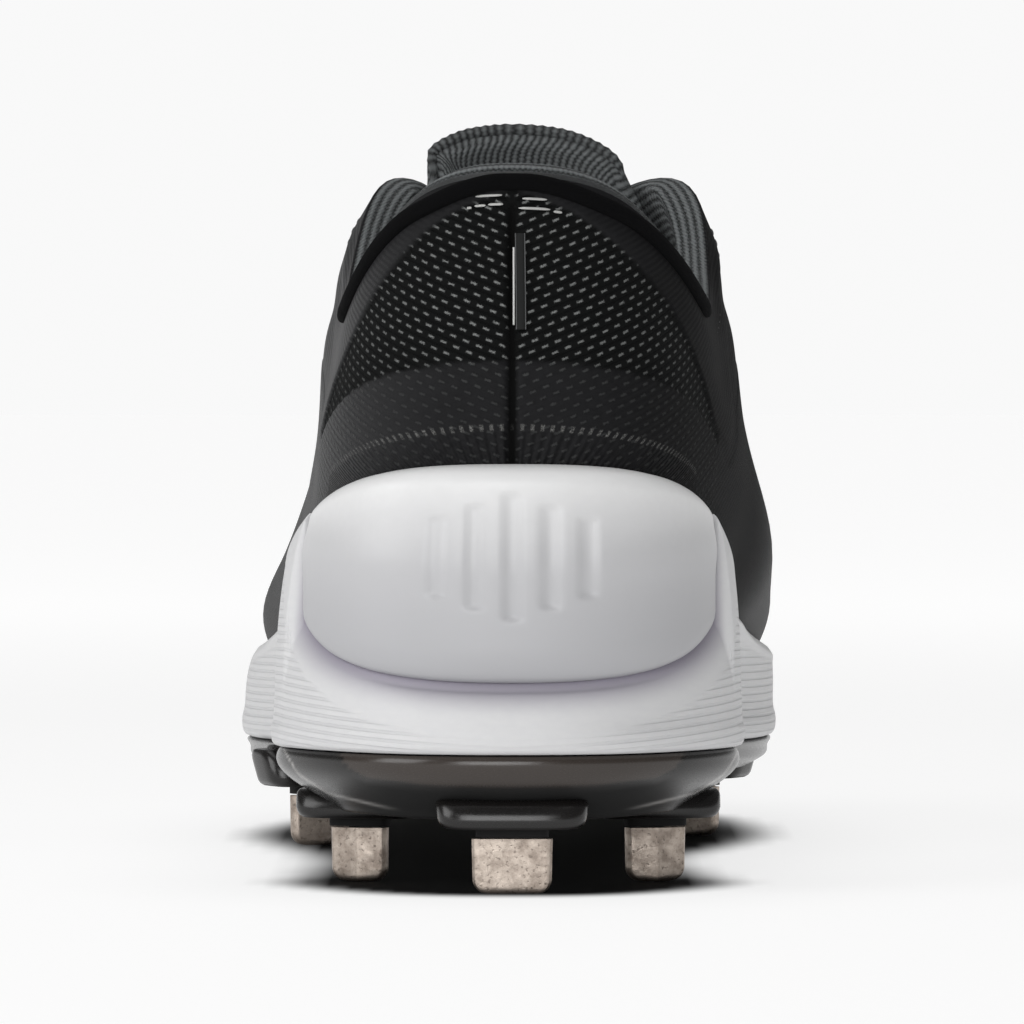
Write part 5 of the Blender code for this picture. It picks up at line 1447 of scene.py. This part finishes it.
def lace_strip(start, end, start_side, rise):
    """Path, ways and section of a flat lace between two eyelets, sunk into them at its ends."""
    lift = 2.0 * GAP + 0.5 * LACE_THICKNESS
    places = (0.0, 0.07, 0.28, 0.5, 0.72, 0.93, 1.0)
    spots, ups = [], []
    for place in places:
        along = start + (end - start) * place
        side = start_side if place < 0.5 else -start_side
        if place == 0.5:
            left, up_left = throat_point(-1, along, 1.0, lift)
            right, up_right = throat_point(1, along, 1.0, lift)
            up = 0.5 * (up_left + up_right)
            up[0] = 0.0
            up = unit(up)
            spots.append(0.5 * (left + right) + up * (LACE_ARCH + rise))
            ups.append(up)
            continue
        if place in (0.0, 1.0):
            spot, up = throat_point(side, along, EYELET_LEVEL, -0.0016)
        elif place in (0.07, 0.93):
            spot, up = throat_point(side, along, EYELET_LEVEL + 0.022, lift + 0.0003)
        else:
            spot, up = throat_point(side, along, 1.0, lift)
            spot = spot + up * (LACE_ARCH * 0.4 + rise * 0.5)
        spots.append(spot)
        ups.append(up)
    spots, ups = np.array(spots), np.array(ups)
    knots = np.array(places)
    at = np.concatenate([np.linspace(0.0, 0.10, 8, endpoint=False), np.linspace(0.10, 0.90, 34),
                         np.linspace(0.90, 1.0, 9)[1:]])
    path = on_curve(knots, spots, bends_of(knots, spots, False), at, False)
    up = on_curve(knots, ups, bends_of(knots, ups, False), at, False)
    ahead = np.gradient(path, axis=0)
    across = unit(np.cross(ahead, up))
    up = unit(np.cross(across, ahead))
    pinch = 0.55 + 0.45 * smooth_step(0.0, 0.10, np.minimum(at, 1.0 - at))
    flat = rounded(0.5 * LACE_WIDTH, 0.5 * LACE_THICKNESS, 14, 0.55)
    section = flat[None] * np.stack([pinch, 1.0 + 0.5 * (1.0 - pinch)], axis=-1)[:, None, :]
    gone = gone_along(path) * 1000.0
    points, faces = tube(path, across, up, section)
    return points, faces, np.repeat(gone, 14), np.tile(flat[:, 0] * 1000.0, len(path))


# An eyelet's rim: radius of its middle, half its width and its rise, in metres
RIM_RADIUS = 0.0029
RIM_WIDTH = 0.0008
RIM_RISE = 0.0005


def build_laces():
    rows = np.linspace(LACE_TOP, LACE_LOW, LACE_ROWS) * LENGTH
    strips = [lace_strip(rows[-1], rows[-1], -1, 0.0)]
    for k in range(LACE_ROWS - 1):
        strips.append(lace_strip(rows[k], rows[k + 1], -1, 0.0))
        strips.append(lace_strip(rows[k], rows[k + 1], 1, 1.1 * LACE_THICKNESS))
    points, faces = joined([strip[:2] for strip in strips])
    marks = {"along": np.concatenate([strip[2] for strip in strips]),
             "row": np.concatenate([strip[3] for strip in strips])}
    piece("lace", points, faces, (woven_lace(),), ("laces",), marks)
    rims = []
    for along in rows:
        for side in (-1, 1):
            spot, up = throat_point(side, along, EYELET_LEVEL, 0.0001)
            first = unit(np.cross(up, (0.0, 1.0, 0.0)))
            second = np.cross(up, first)
            angle = 2.0 * np.pi * np.arange(28) / 28
            out = np.cos(angle)[:, None] * first + np.sin(angle)[:, None] * second
            turn = 2.0 * np.pi * np.arange(10) / 10
            ring = spot + out[:, None, :] * (RIM_RADIUS + RIM_WIDTH * np.cos(turn))[None, :, None] \
                + up * (RIM_RISE * np.sin(turn))[None, :, None]
            rims.append((ring.reshape(-1, 3), quads(28, 10, True, True)))
    points, faces = joined(rims)
    piece("eyelet_rims", points, faces, (dark_film(),))


def thread_run(u, level, gap, spacing, length):
    """Short raised stitches along a line of the upper's face, never farther than `gap` from its edge."""
    fine = np.linspace(np.full(len(u), level), 1.0, 60)
    left = gone_along(last_form(u, fine)[::-1])[::-1]
    levels = np.array([np.interp(gap, left[::-1, k], fine[::-1, k]) for k in range(len(u))])
    line = outside(u, levels, 0.0)
    outs = last_normal(u, levels)
    line = line - outs * crease_depth(line, levels)[:, None]
    gone = gone_along(line)
    parts = []
    for start in np.arange(0.0, gone[-1] - length, spacing):
        at = start + np.linspace(0.0, length, 6)
        spots = np.column_stack([np.interp(at, gone, line[:, k]) for k in range(3)])
        out = np.column_stack([np.interp(at, gone, outs[:, k]) for k in range(3)])
        spots = spots + out * (0.00012 + 0.00016 * np.sin(np.linspace(0.0, math.pi, 6)))[:, None]
        across = unit(np.cross(np.gradient(spots, axis=0), out))
        size = np.array((0.45, 0.9, 1.0, 1.0, 0.9, 0.45))
        section = rounded(0.00032, 0.00026, 8, 1.0)[None] * size[:, None, None]
        parts.append(tube(spots, across, out, section))
    return parts


# Rows of stitches beside the throat: height over the film's foot, spacing and length, in metres
STITCH_RISE = 0.014
STITCH_SPACING = 0.0030
STITCH_LENGTH = 0.0022
# The second row's further rise, and how far each row may lie from the throat's edge
STITCH_ROWS = ((0.0, 0.0074), (0.0110, 0.0056))


def stitch_row(side, first, last, count, shift, gap):
    u = np.linspace(first, last, count)
    u = u if side > 0 else 1.0 - u
    return thread_run(u, BORDER_FOOT + STITCH_RISE + shift, gap, STITCH_SPACING, STITCH_LENGTH)


def build_stitches():
    parts = []
    for side in (1.0, -1.0):
        for shift, gap in STITCH_ROWS:
            parts += stitch_row(side, 0.225, 0.5, 400, shift, gap)
        parts += stitch_row(side, 0.125, 0.225, 200, *STITCH_ROWS[0])
    points, faces = joined(parts)
    piece("stitches", points, faces, (spun_thread(),))


# The camera: sensor in mm, focal length in the photograph's pixels, place in metres, dip in degrees
SENSOR = 36.0
FOCAL_PIXELS = 4590.0
CAMERA_PLACE = (0.0005, -1.6385, 0.0943)
CAMERA_DIP = 1.05
# Strength of the air's light at the horizon
HORIZON_GLOW = 0.945


def build_studio():
    """Wide pale floor, bright horizon, soft lights and the camera behind the heel."""
    sizes = bpy.context.scene.cleat_studio
    scene = bpy.context.scene
    run = np.concatenate([(-12.0, -3.0, -1.0, -0.3), np.linspace(-0.18, 0.18, 91), (0.3, 1.0, 3.0, 12.0)])
    across = np.concatenate([(-12.0, -3.0, -0.5, -0.2), np.linspace(-0.088, 0.088, 45),
                             (0.2, 0.5, 3.0, 12.0)])
    points = np.array([[(x, y, -0.0001) for x in across] for y in run])
    # contact shadow: distance of each place from the sole's outline, inside it below nought
    rim = outline(np.linspace(0.0, 1.0, 401)[:-1])[0] - np.array((CENTRE_X, 0.5 * LENGTH))
    ahead = np.roll(rim, -1, axis=0) - rim
    spots = points[..., :2].reshape(-1, 1, 2)
    share = np.clip(((spots - rim) * ahead).sum(axis=-1) / (ahead ** 2).sum(axis=-1), 0.0, 1.0)
    far = np.linalg.norm(spots - rim - ahead * share[..., None], axis=-1).min(axis=1)
    x, y = spots[..., 0], spots[..., 1]
    crossing = (rim[:, 1] > y) != (rim[:, 1] + ahead[:, 1] > y)
    slant = np.where(np.abs(ahead[:, 1]) < 1e-9, 1e-9, ahead[:, 1])
    within = (crossing & (x < rim[:, 0] + ahead[:, 0] * (y - rim[:, 1]) / slant)).sum(axis=1) % 2 == 1
    far = np.where(within, -far, far)
    halo = 0.03 * (1.0 - smooth_step(0.0, 0.05, far)) * (far > 0.0)
    contact = 1.0 - smooth_step(-0.010, 0.0045, far) + halo
    mesh = bpy.data.meshes.new("studio_floor")
    mesh.from_pydata(points.reshape(-1, 3).tolist(), [], quads(len(run), len(across), False).tolist())
    mesh.materials.append(studio_paper())
    layer = mesh.attributes.new("contact", "FLOAT", "POINT")
    layer.data.foreach_set("value", np.clip(contact, 0.0, 1.0).astype(np.float32))
    mesh.shade_smooth()
    floor = bpy.data.objects.new("studio_floor", mesh)
    scene.collection.objects.link(floor)
    world = bpy.data.worlds.new("studio_air")
    world.use_nodes = True
    world.node_tree.nodes["Background"].inputs["Color"].default_value = (1.0, 1.0, 1.0, 1.0)
    # near-white at the horizon, dimmer above it, where only its light counts
    tree = world.node_tree
    way = add(tree, "ShaderNodeTexCoord")
    split = add(tree, "ShaderNodeSeparateXYZ", {0: way}, 2)
    glow = mapped(tree, split, 0.10, 0.22, HORIZON_GLOW, sizes.air_strength)
    tree.links.new(glow, tree.nodes["Background"].inputs["Strength"])
    scene.world = world
    lights = (("overhead_softbox", (0.0, 0.05, 1.5), (0.0, 0.0, 0.05), 1.6, sizes.overhead_power),
              ("left_softbox", (-1.6, -0.85, 0.9), (0.0, -0.05, 0.06), 1.1, sizes.left_power),
              ("back_softbox", (-0.3, -2.3, 0.80), (0.0, -0.1, 0.06), 1.2, sizes.back_power))
    for name, place, aim, size, power in lights:
        light = bpy.data.lights.new(name, "AREA")
        light.shape = "SQUARE"
        light.size = size
        light.energy = power
        lamp = bpy.data.objects.new(name, light)
        lamp.location = place
        lamp.rotation_euler = (Vector(aim) - Vector(place)).to_track_quat("-Z", "Y").to_euler()
        scene.collection.objects.link(lamp)
    view = bpy.data.cameras.new("behind_heel")
    view.sensor_width = SENSOR
    view.lens = SENSOR * FOCAL_PIXELS / sizes.view_pixels
    camera = bpy.data.objects.new("behind_heel", view)
    camera.location = CAMERA_PLACE
    camera.rotation_euler = (math.radians(90.0 - CAMERA_DIP), 0.0, 0.0)
    scene.collection.objects.link(camera)
    scene.camera = camera
    scene.view_settings.view_transform = "Standard"


# Add-on

class CleatUpperSettings(bpy.types.PropertyGroup):
    """Colours of the upper."""
    cloth_colour: bpy.props.FloatVectorProperty(
        name="Mesh cloth", description="Colour of the mesh between its yarns", subtype="COLOR", size=4,
        min=0.0, max=1.0, default=hex_colour("#090a0a"))
    yarn_colour: bpy.props.FloatVectorProperty(
        name="Yarn", description="Colour of the raised yarns", subtype="COLOR", size=4, min=0.0, max=1.0,
        default=hex_colour("#7d7f7e"))
    film_colour: bpy.props.FloatVectorProperty(
        name="Film", description="Colour of the bonded film", subtype="COLOR", size=4, min=0.0, max=1.0,
        default=hex_colour("#18181a"))
    knit_colour: bpy.props.FloatVectorProperty(
        name="Knit lining", description="Colour of the ribbed knit of collar and tongue", subtype="COLOR",
        size=4, min=0.0, max=1.0, default=hex_colour("#787c7d"))


class CleatSoleSettings(bpy.types.PropertyGroup):
    """Colours of the sole, the cap and the studs."""
    foam_colour: bpy.props.FloatVectorProperty(
        name="Foam", description="Colour of the foam midsole", subtype="COLOR", size=4, min=0.0, max=1.0,
        default=hex_colour("#cecece"))
    cap_colour: bpy.props.FloatVectorProperty(
        name="Heel cap", description="Colour of the heel cap", subtype="COLOR", size=4, min=0.0, max=1.0,
        default=hex_colour("#dcdcdc"))
    plate_colour: bpy.props.FloatVectorProperty(
        name="Plate", description="Colour of the hard sole plate", subtype="COLOR", size=4, min=0.0, max=1.0,
        default=hex_colour("#0b0a0a"))
    stud_colour: bpy.props.FloatVectorProperty(
        name="Studs", description="Colour of the metal blades", subtype="COLOR", size=4, min=0.0, max=1.0,
        default=hex_colour("#bcb0a5"))


class CleatStudioSettings(bpy.types.PropertyGroup):
    """Lights and view of the studio."""
    air_strength: bpy.props.FloatProperty(
        name="Air", description="Strength of the light from all round", default=0.15, min=0.0)
    overhead_power: bpy.props.FloatProperty(
        name="Overhead", description="Power of the softbox over the shoe", subtype="POWER", unit="POWER",
        default=8.0, min=0.0)
    left_power: bpy.props.FloatProperty(
        name="Left", description="Power of the softbox at the left", subtype="POWER", unit="POWER",
        default=14.0, min=0.0)
    back_power: bpy.props.FloatProperty(
        name="Behind", description="Power of the softbox behind the camera", subtype="POWER", unit="POWER",
        default=22.0, min=0.0)
    view_pixels: bpy.props.FloatProperty(
        name="View width", description="Width of the view in the photograph's pixels", default=548.0,
        min=100.0)


class CLEAT_OT_upper(bpy.types.Operator):
    """Builds the upper's wall with its film, mesh, creases and knit lining"""
    bl_idname = "cleat.upper"
    bl_label = "Upper"

    def execute(self, context):
        build_upper()
        return {"FINISHED"}


class CLEAT_OT_collar(bpy.types.Operator):
    """Builds the collar's binding roll and the pressed bars beside the heel seam"""
    bl_idname = "cleat.collar"
    bl_label = "Collar"

    def execute(self, context):
        build_collar()
        return {"FINISHED"}


class CLEAT_OT_midsole(bpy.types.Operator):
    """Builds the foam midsole with its ribs and wings"""
    bl_idname = "cleat.midsole"
    bl_label = "Midsole"

    def execute(self, context):
        build_midsole()
        return {"FINISHED"}


class CLEAT_OT_heel_cap(bpy.types.Operator):
    """Builds the satin heel cap"""
    bl_idname = "cleat.heel_cap"
    bl_label = "Heel cap"

    def execute(self, context):
        build_heel_cap()
        return {"FINISHED"}


class CLEAT_OT_plate(bpy.types.Operator):
    """Builds the hard plate and the bosses of the studs"""
    bl_idname = "cleat.plate"
    bl_label = "Sole plate"

    def execute(self, context):
        build_plate()
        return {"FINISHED"}


class CLEAT_OT_studs(bpy.types.Operator):
    """Builds the nine metal blades"""
    bl_idname = "cleat.studs"
    bl_label = "Studs"

    def execute(self, context):
        build_studs()
        return {"FINISHED"}


class CLEAT_OT_inside(bpy.types.Operator):
    """Builds the insole and the padded tongue"""
    bl_idname = "cleat.inside"
    bl_label = "Insole and tongue"

    def execute(self, context):
        build_insole()
        build_tongue()
        return {"FINISHED"}


class CLEAT_OT_laces(bpy.types.Operator):
    """Builds the lace, the eyelets and the stitches"""
    bl_idname = "cleat.laces"
    bl_label = "Laces and stitches"

    def execute(self, context):
        build_laces()
        build_stitches()
        return {"FINISHED"}


class CLEAT_OT_studio(bpy.types.Operator):
    """Builds the pale floor, the soft lights and the camera"""
    bl_idname = "cleat.studio"
    bl_label = "Studio"

    def execute(self, context):
        build_studio()
        return {"FINISHED"}


class CLEAT_PT_pieces(bpy.types.Panel):
    """Lists the cleat's pieces and settings"""
    bl_label = "Baseball cleat"
    bl_idname = "CLEAT_PT_pieces"
    bl_space_type = "VIEW_3D"
    bl_region_type = "UI"
    bl_category = "Cleat"

    def draw(self, context):
        for settings in (context.scene.cleat_upper, context.scene.cleat_sole, context.scene.cleat_studio):
            box = self.layout.box()
            for name in settings.__annotations__:
                box.prop(settings, name)
        for operator in OPERATORS:
            self.layout.operator(operator.bl_idname)


OPERATORS = (CLEAT_OT_studio, CLEAT_OT_upper, CLEAT_OT_collar, CLEAT_OT_midsole, CLEAT_OT_heel_cap,
             CLEAT_OT_plate, CLEAT_OT_studs, CLEAT_OT_inside, CLEAT_OT_laces)
CLASSES = (CleatUpperSettings, CleatSoleSettings, CleatStudioSettings) + OPERATORS + (CLEAT_PT_pieces,)


def register():
    for made in CLASSES:
        bpy.utils.register_class(made)
    bpy.types.Scene.cleat_upper = bpy.props.PointerProperty(type=CleatUpperSettings)
    bpy.types.Scene.cleat_sole = bpy.props.PointerProperty(type=CleatSoleSettings)
    bpy.types.Scene.cleat_studio = bpy.props.PointerProperty(type=CleatStudioSettings)


def unregister():
    del bpy.types.Scene.cleat_upper
    del bpy.types.Scene.cleat_sole
    del bpy.types.Scene.cleat_studio
    for made in reversed(CLASSES):
        bpy.utils.unregister_class(made)


def main():
    register()
    bpy.ops.cleat.studio()
    bpy.ops.cleat.upper()
    bpy.ops.cleat.collar()
    bpy.ops.cleat.midsole()
    bpy.ops.cleat.heel_cap()
    bpy.ops.cleat.plate()
    bpy.ops.cleat.studs()
    bpy.ops.cleat.inside()
    bpy.ops.cleat.laces()


if __name__ == "__main__":
    main()
